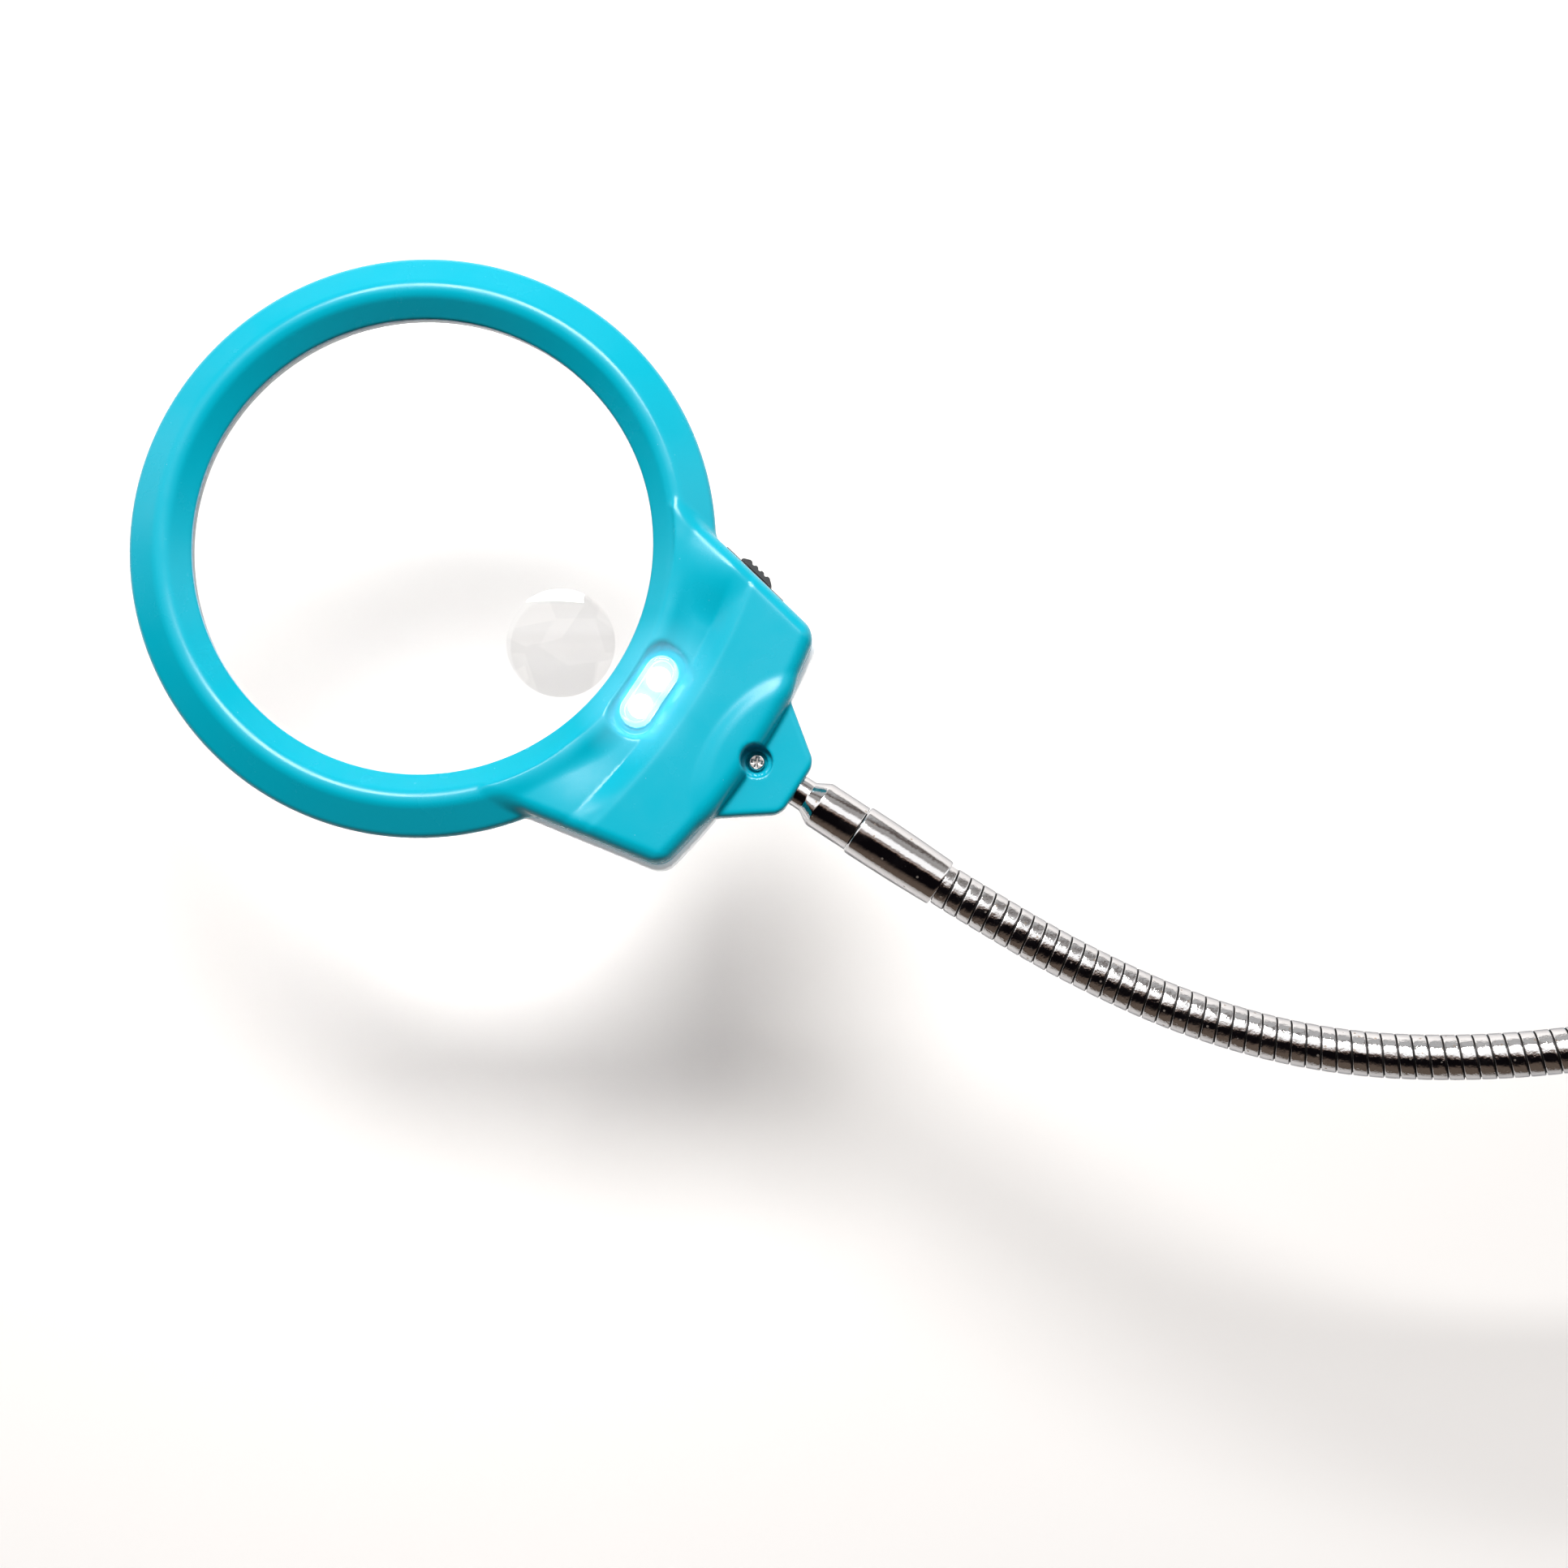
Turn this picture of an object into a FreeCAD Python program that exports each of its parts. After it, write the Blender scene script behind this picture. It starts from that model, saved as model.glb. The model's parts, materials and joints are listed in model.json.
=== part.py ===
"""Hands-free LED magnifying lamp: round lens head on a gooseneck with a weighted round base.

Row frame: origin at the centre of the base's underside, +Z up, the head towards -X. Millimetres.
Head frame: origin at the lens centre, x across the head (switch side positive), y away from the
neck, z out of the front face. Every head piece is built in it and placed by head_placement().
"""

import FreeCAD, Part

import math
import os

from FreeCAD import Vector

# ---- lens and ring ----
LENS_R = 54.0
LENS_RIM = 1.6
LENS_SAG = 3.2
LENS_BOTTOM = -0.4
APERTURE_R = 52.6
SPOT_X = -1.6
SPOT_Y = -39.1
SPOT_R = 12.3
SPOT_HEIGHT = 1.5
RING_R = 67.0
CREST_R = 58.3
CREST_Z = 7.0
RING_EDGE_Z = 2.4
BACK_RING_R = 66.4
BACK_RING_Z = -3.8
SEAM = 0.15

# ---- lamp housing ----
TOP_Y = -50.0
BOTTOM_Y = -90.1
CORNER_Y = -86.6
TOP_HALF_WIDTH = 38.8
CORNER_HALF_WIDTH = 31.6
WALL = 1.8
SADDLE_Z = 5.6
PLATEAU_Z = 9.0
PLATEAU_ARC_R = 142.0
PLATEAU_Y = -72.4
PLATEAU_SLOPE = 3.4
BACK_Z = -9.4
BACK_LIP = 0.4
BULGE_Z = 10.0
BULGE_TOP_Y = -80.5
BULGE_HALF_WIDTH = 19.3
BACK_FLOOR = 1.6
BACK_ROUND = 2.2
BACK_SCREW_SPOTS = ((-27.5, -59.5), (27.5, -59.5))
BACK_BOSS_R = 2.7

# ---- tab and stem ----
TAB_TOP_HALF = 15.8
TAB_END_HALF = 6.8
TAB_END_Y = -102.3
TAB_HALF_THICKNESS = 5.0
SCREW_Y = -91.3
SCREW_HEAD_R = 1.9
SCREW_SHANK_R = 1.1
COUNTERBORE_R = 3.6
COUNTERBORE_Z = 2.0
STEM_R = 3.7
STEM_INNER_Y = -96.5
CONE_START_Y = -105.1
COLLAR_Y = -108.2
COLLAR_R = 5.55
SLEEVE_Y = -118.6
SLEEVE_END_Y = -140.8
SLEEVE_R = 6.0
SLEEVE_END_R = 5.6
SPIGOT_R = 4.0
SPIGOT_END_Y = -135.0
GROOVE_Y = -130.8
GROOVE_WIDTH = 1.2
GROOVE_DEPTH = 0.8
RUNNING_GAP = 0.05

# ---- light, cells and switch ----
LED_Y = -62.3
LED_PITCH = 7.4
LED_R = 2.5
BOARD_Z = 0.6
BOARD_THICKNESS = 1.0
WINDOW_LENGTH = 19.6
WINDOW_WIDTH = 8.4
WINDOW_Z = 6.2
WINDOW_FOOT_Z = 2.7
RECESS_LENGTH = 22.8
RECESS_WIDTH = 10.2
RECESS_Z = 4.4
CELL_R = 5.25
CELL_LENGTH = 44.5
CELL_Z = -1.7
CELL_YS = (-70.2, -80.8)
CELL_TIP_SIDES = (-1, 1)
PLATE_GAP = 3.1
SPRING_R = 1.9
SPRING_WIRE_R = 0.25
SPRING_TURNS = 4
COVER_HALF_WIDTH = 25.0
COVER_TOP_Y = -64.0
COVER_TOP_Z = -8.0
SWITCH_Y = -66.7
PLATE_LENGTH = 17.8
PLATE_WIDTH = 5.0
KNOB_LENGTH = 9.4
KNOB_WIDTH = 3.6
KNOB_FOOT = 0.85
KNOB_TOP = 2.2
KNOB_TOP_HALF = 3.1
KNOB_SCALLOP_R = 0.6
KNOB_SCALLOP_PITCH = 1.85
SWITCH_Z = -3.6
WIRE_R = 0.6
WIRE_Z = 2.2
WIRE_INNER_X = 12.0
WIRE_OUTER_X = 26.5
WIRE_DROP = 4.0

# ---- gooseneck ----
NECK_R = 4.9
LINK_LENGTH = 29.6
BALL_R = 3.3
CUP_RIM = 1.3
LAST_HINGE_Y = -146.8
# Direction of each link in degrees, from the head to the base: (bearing in plan, climb).
LINK_DIRECTIONS = (
    (-30.5, 4.5), (-24.0, 7.0), (-13.5, 10.0), (-1.0, 13.0), (8.0, 15.0), (11.0, 10.0),
    (12.0, -5.0), (12.0, -23.0), (12.0, -42.0), (12.0, -61.0), (12.0, -79.0),
)

# ---- head attitude and base ----
HEAD_BEARING = -33.1
HEAD_PITCH = 3.1
HEAD_ROLL = -4.25
BASE_R = 70.0
BASE_EDGE_Z = 9.0
BASE_TOP_Z = 15.0
PAD_THICKNESS = 1.5
PAD_R = 66.0
WEIGHT_R = 66.5
WEIGHT_TOP_Z = 10.5
FERRULE_OFFSET = 16.0
FERRULE_R = 8.0
FERRULE_TOP_R = 5.6
FERRULE_LENGTH = 27.0
STUD_R = 4.0
NUT_ACROSS_FLATS = 13.0
NUT_Z = 2.8
NUT_HEIGHT = 3.2
WASHER_R = 8.2
WASHER_THICKNESS = 0.9
BASE_SCREW_CIRCLE_R = 52.0


# ---- frames ----
def direction(bearing, climb):
    flat = math.cos(math.radians(climb))
    return Vector(
        flat * math.cos(math.radians(bearing)),
        flat * math.sin(math.radians(bearing)),
        math.sin(math.radians(climb)),
    )


def head_axes():
    """Unit vectors of the head frame in the row frame: across, away from the neck, out of the front."""
    towards_neck = direction(HEAD_BEARING, HEAD_PITCH)
    level = Vector(0, 0, 1).cross(towards_neck).normalize()
    upright = towards_neck.cross(level)
    roll = math.radians(HEAD_ROLL)
    across = level * math.cos(roll) + upright * math.sin(roll)
    front = across.cross(towards_neck * -1.0)
    return across, towards_neck * -1.0, front


def neck_hinges():
    """Hinge points of the gooseneck in the row frame, from the ferrule to the sleeve."""
    ferrule_top = Vector(FERRULE_OFFSET, 0, BASE_TOP_Z + FERRULE_LENGTH)
    points = [ferrule_top]
    for bearing, climb in reversed(LINK_DIRECTIONS):
        points.append(points[-1] - direction(bearing, climb) * LINK_LENGTH)
    return points


def head_placement():
    across, up, front = head_axes()
    centre = neck_hinges()[-1] - up * LAST_HINGE_Y
    return FreeCAD.Placement(FreeCAD.Matrix(
        across.x, up.x, front.x, centre.x,
        across.y, up.y, front.y, centre.y,
        across.z, up.z, front.z, centre.z,
        0, 0, 0, 1,
    ))


def along(start, heading):
    """Placement that sets a solid built along +Z at start, pointing along heading."""
    return FreeCAD.Placement(start, FreeCAD.Rotation(Vector(0, 0, 1), heading))


# ---- shape helpers ----
def polygon(points, z=0.0):
    corners = [Vector(x, y, z) for x, y in points]
    return Part.Face(Part.makePolygon(corners + corners[:1]))


def turned(profile):
    """Solid of revolution about Z from (radius, z) points."""
    corners = [Vector(r, 0, z) for r, z in profile]
    face = Part.Face(Part.makePolygon(corners + corners[:1]))
    return face.revolve(Vector(0, 0, 0), Vector(0, 0, 1), 360)


def rod(radius, y_from, y_to):
    """Cylinder along the head's y axis."""
    return Part.makeCylinder(radius, abs(y_to - y_from), Vector(0, min(y_from, y_to), 0), Vector(0, 1, 0))


def taper(y_from, r_from, y_to, r_to):
    """Cone towards the neck along the head's y axis."""
    return Part.makeCone(r_from, r_to, y_from - y_to, Vector(0, y_from, 0), Vector(0, -1, 0))


def post(radius, x, y, z_from, z_to):
    return Part.makeCylinder(radius, z_to - z_from, Vector(x, y, z_from))


def box(x_from, x_to, y_from, y_to, z_from, z_to):
    return Part.makeBox(x_to - x_from, y_to - y_from, z_to - z_from, Vector(x_from, y_from, z_from))


def stadium(length, width, x, y, z_from, z_to):
    radius = width / 2
    half = length / 2 - radius
    bar = box(x - half, x + half, y - radius, y + radius, z_from, z_to)
    ends = [post(radius, x + side * half, y, z_from, z_to) for side in (-1, 1)]
    return bar.fuse(ends).removeSplitter()


def arc_radius(half_chord, rise):
    return (half_chord ** 2 + rise ** 2) / (2 * rise)


# ---- head shells ----
def housing_outline(grow):
    """Tapered housing outline with a bowed lower edge, offset outwards by grow."""
    half_top = TOP_HALF_WIDTH + grow
    half_low = CORNER_HALF_WIDTH + grow
    low = CORNER_Y - grow
    bow = Part.Arc(
        Vector(half_low, low, 0),
        Vector(0, BOTTOM_Y - grow, 0),
        Vector(-half_low, low, 0),
    ).toShape()
    sides = Part.makePolygon([
        Vector(-half_low, low, 0),
        Vector(-half_top, TOP_Y, 0),
        Vector(half_top, TOP_Y, 0),
        Vector(half_low, low, 0),
    ])
    return Part.Face(Part.Wire(sides.Edges + [bow]))


def housing_block(grow, z_from, z_to):
    face = housing_outline(grow)
    face.translate(Vector(0, 0, z_from))
    return face.extrude(Vector(0, 0, z_to - z_from))


def rounded_housing(grow, z_from, z_to, radius, rounded_z):
    """Housing block whose upright corners and the edges lying at rounded_z are rounded."""
    block = housing_block(grow, z_from, z_to)
    edges = []
    for edge in block.Edges:
        middle = edge.CenterOfMass
        if abs(middle.z - rounded_z) < 0.01 and middle.y < TOP_Y - 1:
            edges.append(edge)
        if len(edge.Vertexes) == 2 and abs(middle.z - (z_from + z_to) / 2) < 0.01 and middle.y < TOP_Y - 1:
            edges.append(edge)
    return block.makeFillet(radius, edges)


def above_saddle(floor, shift):
    """Space over the saddle, up to the bowed slope where the raised cell bay starts."""
    centre_y = PLATEAU_Y + PLATEAU_ARC_R
    high = BULGE_Z + 5
    radius = PLATEAU_ARC_R + shift
    cutter = turned([
        (0, floor), (radius - PLATEAU_SLOPE, floor), (radius, PLATEAU_Z + shift), (radius, high), (0, high),
    ])
    cutter.translate(Vector(0, centre_y, 0))
    return cutter


def tab_block(grow, z_from, z_to):
    face = polygon([
        (-TAB_TOP_HALF - grow, BOTTOM_Y + 4),
        (TAB_TOP_HALF + grow, BOTTOM_Y + 4),
        (TAB_TOP_HALF + grow, BOTTOM_Y),
        (TAB_END_HALF + grow, TAB_END_Y - grow),
        (-TAB_END_HALF - grow, TAB_END_Y - grow),
        (-TAB_TOP_HALF - grow, BOTTOM_Y),
    ], z_from)
    return face.extrude(Vector(0, 0, z_to - z_from))


def thumb_bulge(z_from, z_to):
    top = Part.Arc(
        Vector(-BULGE_HALF_WIDTH, BOTTOM_Y + 1.2, z_from),
        Vector(2.0, BULGE_TOP_Y, z_from),
        Vector(BULGE_HALF_WIDTH, BOTTOM_Y + 1.2, z_from),
    ).toShape()
    low = Part.Arc(
        Vector(BULGE_HALF_WIDTH, BOTTOM_Y + 1.2, z_from),
        Vector(0, BOTTOM_Y - 0.4, z_from),
        Vector(-BULGE_HALF_WIDTH, BOTTOM_Y + 1.2, z_from),
    ).toShape()
    return Part.Face(Part.Wire([top, low])).extrude(Vector(0, 0, z_to - z_from))


SIDE_SLOPE = math.atan2(TOP_HALF_WIDTH - CORNER_HALF_WIDTH, TOP_Y - CORNER_Y)


def side_placement():
    """Frame on the switch side wall: x along the wall away from the neck, y outwards, z to the front."""
    fraction = (SWITCH_Y - CORNER_Y) / (TOP_Y - CORNER_Y)
    wall_x = CORNER_HALF_WIDTH + BACK_LIP + fraction * (TOP_HALF_WIDTH - CORNER_HALF_WIDTH)
    rising = Vector(math.sin(SIDE_SLOPE), math.cos(SIDE_SLOPE), 0)
    outward = Vector(math.cos(SIDE_SLOPE), -math.sin(SIDE_SLOPE), 0)
    return FreeCAD.Placement(FreeCAD.Matrix(
        rising.x, outward.x, 0, wall_x,
        rising.y, outward.y, 0, SWITCH_Y,
        0, 0, -1, SWITCH_Z,
        0, 0, 0, 1,
    ))


def on_side(shape):
    shape.Placement = side_placement()
    return shape


def front_cover():
    ring = turned([
        (RING_R - 0.3, SEAM), (RING_R, 0.9), (RING_R - 0.5, RING_EDGE_Z),
        (CREST_R + 1.6, CREST_Z - 0.3), (CREST_R + 0.5, CREST_Z), (CREST_R - 0.6, CREST_Z - 0.2),
        (APERTURE_R + 0.4, RING_EDGE_Z), (APERTURE_R, RING_EDGE_Z - 0.4),
        (APERTURE_R, LENS_BOTTOM + LENS_RIM + 0.1), (LENS_R + 0.2, LENS_BOTTOM + LENS_RIM + 0.1),
        (LENS_R + 0.2, SEAM),
    ])
    hollow = turned([
        (LENS_R + 1.6, 0), (CREST_R - 0.2, CREST_Z - 2.2), (CREST_R + 1.0, CREST_Z - 2.2),
        (RING_R - 2.2, 0.8), (RING_R - 2.2, 0),
    ])
    shell = rounded_housing(0, SEAM, PLATEAU_Z, 2.2, PLATEAU_Z)
    shell = shell.cut(above_saddle(SADDLE_Z, 0))
    inside = housing_block(-WALL, -1, PLATEAU_Z - WALL)
    inside = inside.cut(above_saddle(SADDLE_Z - WALL, WALL))
    inside = inside.cut(Part.makeCylinder(CREST_R - 0.5, 40, Vector(0, 0, -20)))
    bulge = thumb_bulge(RING_EDGE_Z, BULGE_Z)
    tab = tab_block(0, SEAM, TAB_HALF_THICKNESS)
    aperture = Part.makeCylinder(CREST_R, 40, Vector(0, 0, -20))
    cover = shell.fuse([bulge, tab]).cut(aperture)
    cover = cover.fuse(ring).cut(inside)
    cover = cover.cut(hollow)
    bosses = [post(BACK_BOSS_R, x, y, SEAM, SADDLE_Z - WALL + 0.2) for x, y in BACK_SCREW_SPOTS]
    cover = cover.fuse(bosses)
    recess = stadium(RECESS_LENGTH, RECESS_WIDTH, 0, LED_Y, RECESS_Z, PLATEAU_Z)
    opening = stadium(WINDOW_LENGTH + 0.1, WINDOW_WIDTH + 0.1, 0, LED_Y, 0, PLATEAU_Z)
    counterbore = post(COUNTERBORE_R, 0, SCREW_Y, COUNTERBORE_Z, BULGE_Z + 1)
    screw_hole = post(SCREW_SHANK_R + 0.15, 0, SCREW_Y, -1, BULGE_Z)
    stem_bore = rod(STEM_R + 0.02, TAB_END_Y - 1, STEM_INNER_Y + 0.1)
    pilots = [post(0.9, x, y, -1, 3.0) for x, y in BACK_SCREW_SPOTS]
    return cover.cut([recess, opening, counterbore, screw_hole, stem_bore] + pilots)


def cover_opening(gap):
    """Sliding cover's slot in the back, open towards the neck, with a groove along each side."""
    half = COVER_HALF_WIDTH + gap
    end_y = BOTTOM_Y - 6
    slot = box(-half, half, end_y, COVER_TOP_Y + gap, BACK_Z - 1, COVER_TOP_Z + gap)
    groove = box(-half - 1, half + 1, end_y, COVER_TOP_Y + gap, BACK_Z + 0.5 - gap, COVER_TOP_Z - 0.3 + gap)
    return slot.fuse(groove)


def back_cover():
    ring = turned([
        (APERTURE_R, BACK_RING_Z + 0.4), (APERTURE_R + 0.4, BACK_RING_Z), (BACK_RING_R - 1.2, BACK_RING_Z),
        (BACK_RING_R, BACK_RING_Z + 1.2), (BACK_RING_R, 0), (LENS_R + 0.2, 0),
        (LENS_R + 0.2, LENS_BOTTOM - 0.1), (APERTURE_R, LENS_BOTTOM - 0.1),
    ])
    channel = turned([
        (LENS_R + 1.6, BACK_RING_Z + 1.6), (BACK_RING_R - 2.0, BACK_RING_Z + 1.6),
        (BACK_RING_R - 2.0, 1), (LENS_R + 1.6, 1),
    ])
    pan = rounded_housing(BACK_LIP, BACK_Z, 0, BACK_ROUND, BACK_Z)
    inside = housing_block(BACK_LIP - WALL, BACK_Z + BACK_FLOOR, 1)
    inside = inside.cut(Part.makeCylinder(CREST_R - 0.5, 40, Vector(0, 0, -20)))
    tab = tab_block(-0.3, -TAB_HALF_THICKNESS, 0)
    aperture = Part.makeCylinder(CREST_R - 2, 40, Vector(0, 0, -20))
    cover = pan.fuse(tab).cut(aperture)
    cover = cover.fuse(ring).cut(inside)
    cover = cover.cut(channel)
    bosses = [post(BACK_BOSS_R, x, y, BACK_Z + 0.5, 0) for x, y in BACK_SCREW_SPOTS]
    screw_boss = post(3.0, 0, SCREW_Y, -TAB_HALF_THICKNESS, 0)
    cover = cover.fuse(bosses + [screw_boss])
    holes = [post(1.3, x, y, BACK_Z - 1, 1) for x, y in BACK_SCREW_SPOTS]
    heads = [post(2.3, x, y, BACK_Z - 1, BACK_Z + 2) for x, y in BACK_SCREW_SPOTS]
    pilot = post(SCREW_SHANK_R + 0.02, 0, SCREW_Y, -4.2, 1)
    stem_bore = rod(STEM_R + 0.02, TAB_END_Y - 1, STEM_INNER_Y + 0.1)
    switch_slot = on_side(box(-7.5, 7.5, -4, 1, -1.6, 1.6))
    cutters = holes + heads + [pilot, stem_bore, switch_slot, cover_opening(0.15)]
    return cover.cut(cutters)


# ---- lens, light, cells ----
def lens_cap(radius, height, base_z, side):
    """Shallow spherical cap of the given radius, standing on base_z towards side (+1 or -1)."""
    sphere_r = arc_radius(radius, height)
    ball = Part.makeSphere(sphere_r, Vector(0, 0, base_z - side * (sphere_r - height)))
    slab = Part.makeCylinder(radius, height * 2, Vector(0, 0, min(base_z, base_z + side * height * 2)))
    return ball.common(slab)


def main_lens():
    top = LENS_BOTTOM + LENS_RIM
    clear_r = APERTURE_R - 0.1
    rim = Part.makeCylinder(LENS_R, LENS_RIM, Vector(0, 0, LENS_BOTTOM))
    front = lens_cap(clear_r, LENS_SAG, top, 1)
    back = lens_cap(clear_r, LENS_SAG, LENS_BOTTOM, -1)
    spot_z = top + LENS_SAG * (1 - (abs(SPOT_Y) / clear_r) ** 2)
    spot_lean = math.degrees(math.atan(2 * LENS_SAG * abs(SPOT_Y) / clear_r ** 2))
    spot = lens_cap(SPOT_R, SPOT_HEIGHT, 0, 1)
    spot = spot.fuse(Part.makeCylinder(SPOT_R, 1.5, Vector(0, 0, -1.5)))
    leaning = FreeCAD.Rotation(Vector(1, 0, 0), spot_lean)
    spot.Placement = FreeCAD.Placement(Vector(SPOT_X, SPOT_Y, spot_z), leaning)
    return rim.fuse([front, back, spot])


def led_window():
    flange = stadium(WINDOW_LENGTH + 2.0, WINDOW_WIDTH + 1.1, 0, LED_Y, WINDOW_FOOT_Z, WINDOW_FOOT_Z + 0.9)
    body = stadium(WINDOW_LENGTH, WINDOW_WIDTH, 0, LED_Y, WINDOW_FOOT_Z, WINDOW_Z)
    top_edges = [edge for edge in body.Edges if abs(edge.CenterOfMass.z - WINDOW_Z) < 0.01]
    body = body.makeFillet(0.9, top_edges)
    hollow = stadium(WINDOW_LENGTH - 2.0, WINDOW_WIDTH - 2.0, 0, LED_Y, 2, WINDOW_Z - 0.9)
    return body.fuse(flange).cut(hollow)


def leds():
    seat = BOARD_Z + BOARD_THICKNESS
    bulbs = []
    for side in (-1, 1):
        x = side * LED_PITCH / 2
        base = post(LED_R + 0.3, x, LED_Y, seat, seat + 0.8)
        dome = Part.makeSphere(LED_R, Vector(x, LED_Y, seat + 0.8))
        lower = post(LED_R + 1, x, LED_Y, seat - 4, seat)
        bulbs.append(base.fuse(dome).cut(lower).removeSplitter())
    return Part.makeCompound(bulbs)


def led_board():
    board = box(-11, 11, LED_Y - 2.8, LED_Y + 3.4, BOARD_Z, BOARD_Z + BOARD_THICKNESS)
    return board.cut(Part.makeCylinder(LENS_R + 4.6, 10, Vector(0, 0, -2)))


def resistor():
    body = Part.makeCylinder(0.9, 3.4, Vector(-1.7, LED_Y - 0.6, BOARD_Z - 0.95), Vector(1, 0, 0))
    leads = Part.makeCylinder(0.25, 6.4, Vector(-3.2, LED_Y - 0.6, BOARD_Z - 0.95), Vector(1, 0, 0))
    return body.fuse(leads)


def cell(y, tip_side):
    """Dry cell lying across the head, its raised end towards tip_side (+1 or -1)."""
    flat_end = Vector(-tip_side * CELL_LENGTH / 2, y, CELL_Z)
    heading = Vector(tip_side, 0, 0)
    can = Part.makeCylinder(CELL_R, CELL_LENGTH - 0.8, flat_end, heading)
    tip = Part.makeCylinder(1.9, CELL_LENGTH, flat_end, heading)
    return can.fuse(tip)


def contact_springs():
    """Coil behind each cell's flat end: closed turns of wire, each joined to the next by a short riser."""
    coils = []
    pitch = (PLATE_GAP - 2 * SPRING_WIRE_R - 0.1) / (SPRING_TURNS - 1)
    for y, tip_side in zip(CELL_YS, CELL_TIP_SIDES):
        heading = Vector(-tip_side, 0, 0)
        start = Vector(-tip_side * (CELL_LENGTH / 2 + SPRING_WIRE_R + 0.05), y, CELL_Z)
        turns = []
        for count in range(SPRING_TURNS):
            turns.append(Part.makeTorus(SPRING_R, SPRING_WIRE_R, start + heading * pitch * count, heading))
        for count in range(SPRING_TURNS - 1):
            side = 1 if count % 2 == 0 else -1
            foot = start + heading * pitch * count + Vector(0, side * SPRING_R, 0)
            turns.append(Part.makeCylinder(SPRING_WIRE_R * 0.8, pitch, foot, heading))
        coils.append(turns[0].fuse(turns[1:]))
    return Part.makeCompound(coils)


def contact_plates():
    """One bridging plate at the left and one plate per cell at the right, dimpled to meet each tip."""
    low = CELL_Z - 4.2
    high = CELL_Z + 4.2
    inner = CELL_LENGTH / 2 + PLATE_GAP
    outer = inner + 0.4
    dimples = []
    for y, side in zip(CELL_YS, CELL_TIP_SIDES):
        start = Vector(side * (CELL_LENGTH / 2 + 0.05), y, CELL_Z)
        dimples.append(Part.makeCylinder(1.5, PLATE_GAP, start, Vector(side, 0, 0)))
    bridge = box(-outer, -inner, CELL_YS[1] - 4.4, CELL_YS[0] + 4.4, low, high).fuse(dimples[0])
    negative = box(inner, outer, CELL_YS[0] - 4.4, CELL_YS[0] + 4.4, low, high)
    positive = box(inner, outer, CELL_YS[1] - 4.4, CELL_YS[1] + 4.4, low, high).fuse(dimples[1])
    return Part.makeCompound([bridge, negative, positive])


def battery_cover():
    """Sliding plate with a tongue along each side; its end follows the bowed end of the back."""
    plate = box(-COVER_HALF_WIDTH, COVER_HALF_WIDTH, BOTTOM_Y - 5, COVER_TOP_Y, BACK_Z, COVER_TOP_Z)
    plate = plate.common(rounded_housing(BACK_LIP, BACK_Z, 0, BACK_ROUND, BACK_Z))
    half = COVER_HALF_WIDTH + 0.85
    tongue = box(-half, half, CORNER_Y, COVER_TOP_Y, BACK_Z + 0.5, COVER_TOP_Z - 0.3)
    cover = plate.fuse(tongue)
    grips = [box(-8, 8, y, y + 0.9, BACK_Z - 0.4, BACK_Z) for y in (-86.5, -84.5, -82.5, -80.5)]
    return cover.fuse(grips).removeSplitter()


def wires():
    """Leads from the switch and the cells to the light's board, each bent down at its outer end."""
    leads = []
    for side in (-1, 1):
        start = Vector(side * WIRE_INNER_X, LED_Y - 2.6, WIRE_Z)
        knee = Vector(side * WIRE_OUTER_X, LED_Y - 2.6, WIRE_Z)
        run = Part.makeCylinder(WIRE_R, WIRE_OUTER_X - WIRE_INNER_X, start, Vector(side, 0, 0))
        drop = Part.makeCylinder(WIRE_R, WIRE_DROP, knee, Vector(0, 0, -1))
        leads.append(run.fuse([drop, Part.makeSphere(WIRE_R, knee)]).removeSplitter())
    return Part.makeCompound(leads)


def screw(head_r, head_z, thickness, shank_r, shank_end, x, y, up):
    """Cross-head screw; up is +1 for a head facing the front and -1 for one facing the back."""
    head = post(head_r, x, y, min(head_z, head_z + up * thickness), max(head_z, head_z + up * thickness))
    shank = post(shank_r, x, y, min(shank_end, head_z), max(shank_end, head_z))
    face = head_z + up * thickness
    depth = 0.8
    slot_low = min(face, face - up * depth)
    arms = [
        box(x - 1.3, x + 1.3, y - 0.3, y + 0.3, slot_low, slot_low + depth),
        box(x - 0.3, x + 0.3, y - 1.3, y + 1.3, slot_low, slot_low + depth),
    ]
    return head.fuse(shank).cut(arms)


def tab_screw():
    return screw(SCREW_HEAD_R, COUNTERBORE_Z + 0.02, 1.3, SCREW_SHANK_R, -3.8, 0, SCREW_Y, 1)


def back_screws():
    seat = BACK_Z + 1.98
    return Part.makeCompound([screw(2.0, seat, 1.3, 0.85, 2.4, x, y, -1) for x, y in BACK_SCREW_SPOTS])


# ---- switch ----
def switch_plate():
    plate = box(-PLATE_LENGTH / 2, PLATE_LENGTH / 2, 0.1, 0.6, -PLATE_WIDTH / 2, PLATE_WIDTH / 2)
    slot = box(-7, 7, -1, 2, -1.1, 1.1)
    return on_side(plate.cut(slot))


def switch_body():
    case = box(-7.2, 7.2, -5.6, -0.3, -1.5, 1.5)
    slot = box(-6.2, 6.2, -1.8, 1, -1.1, 1.1)
    return on_side(case.cut(slot))


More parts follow.
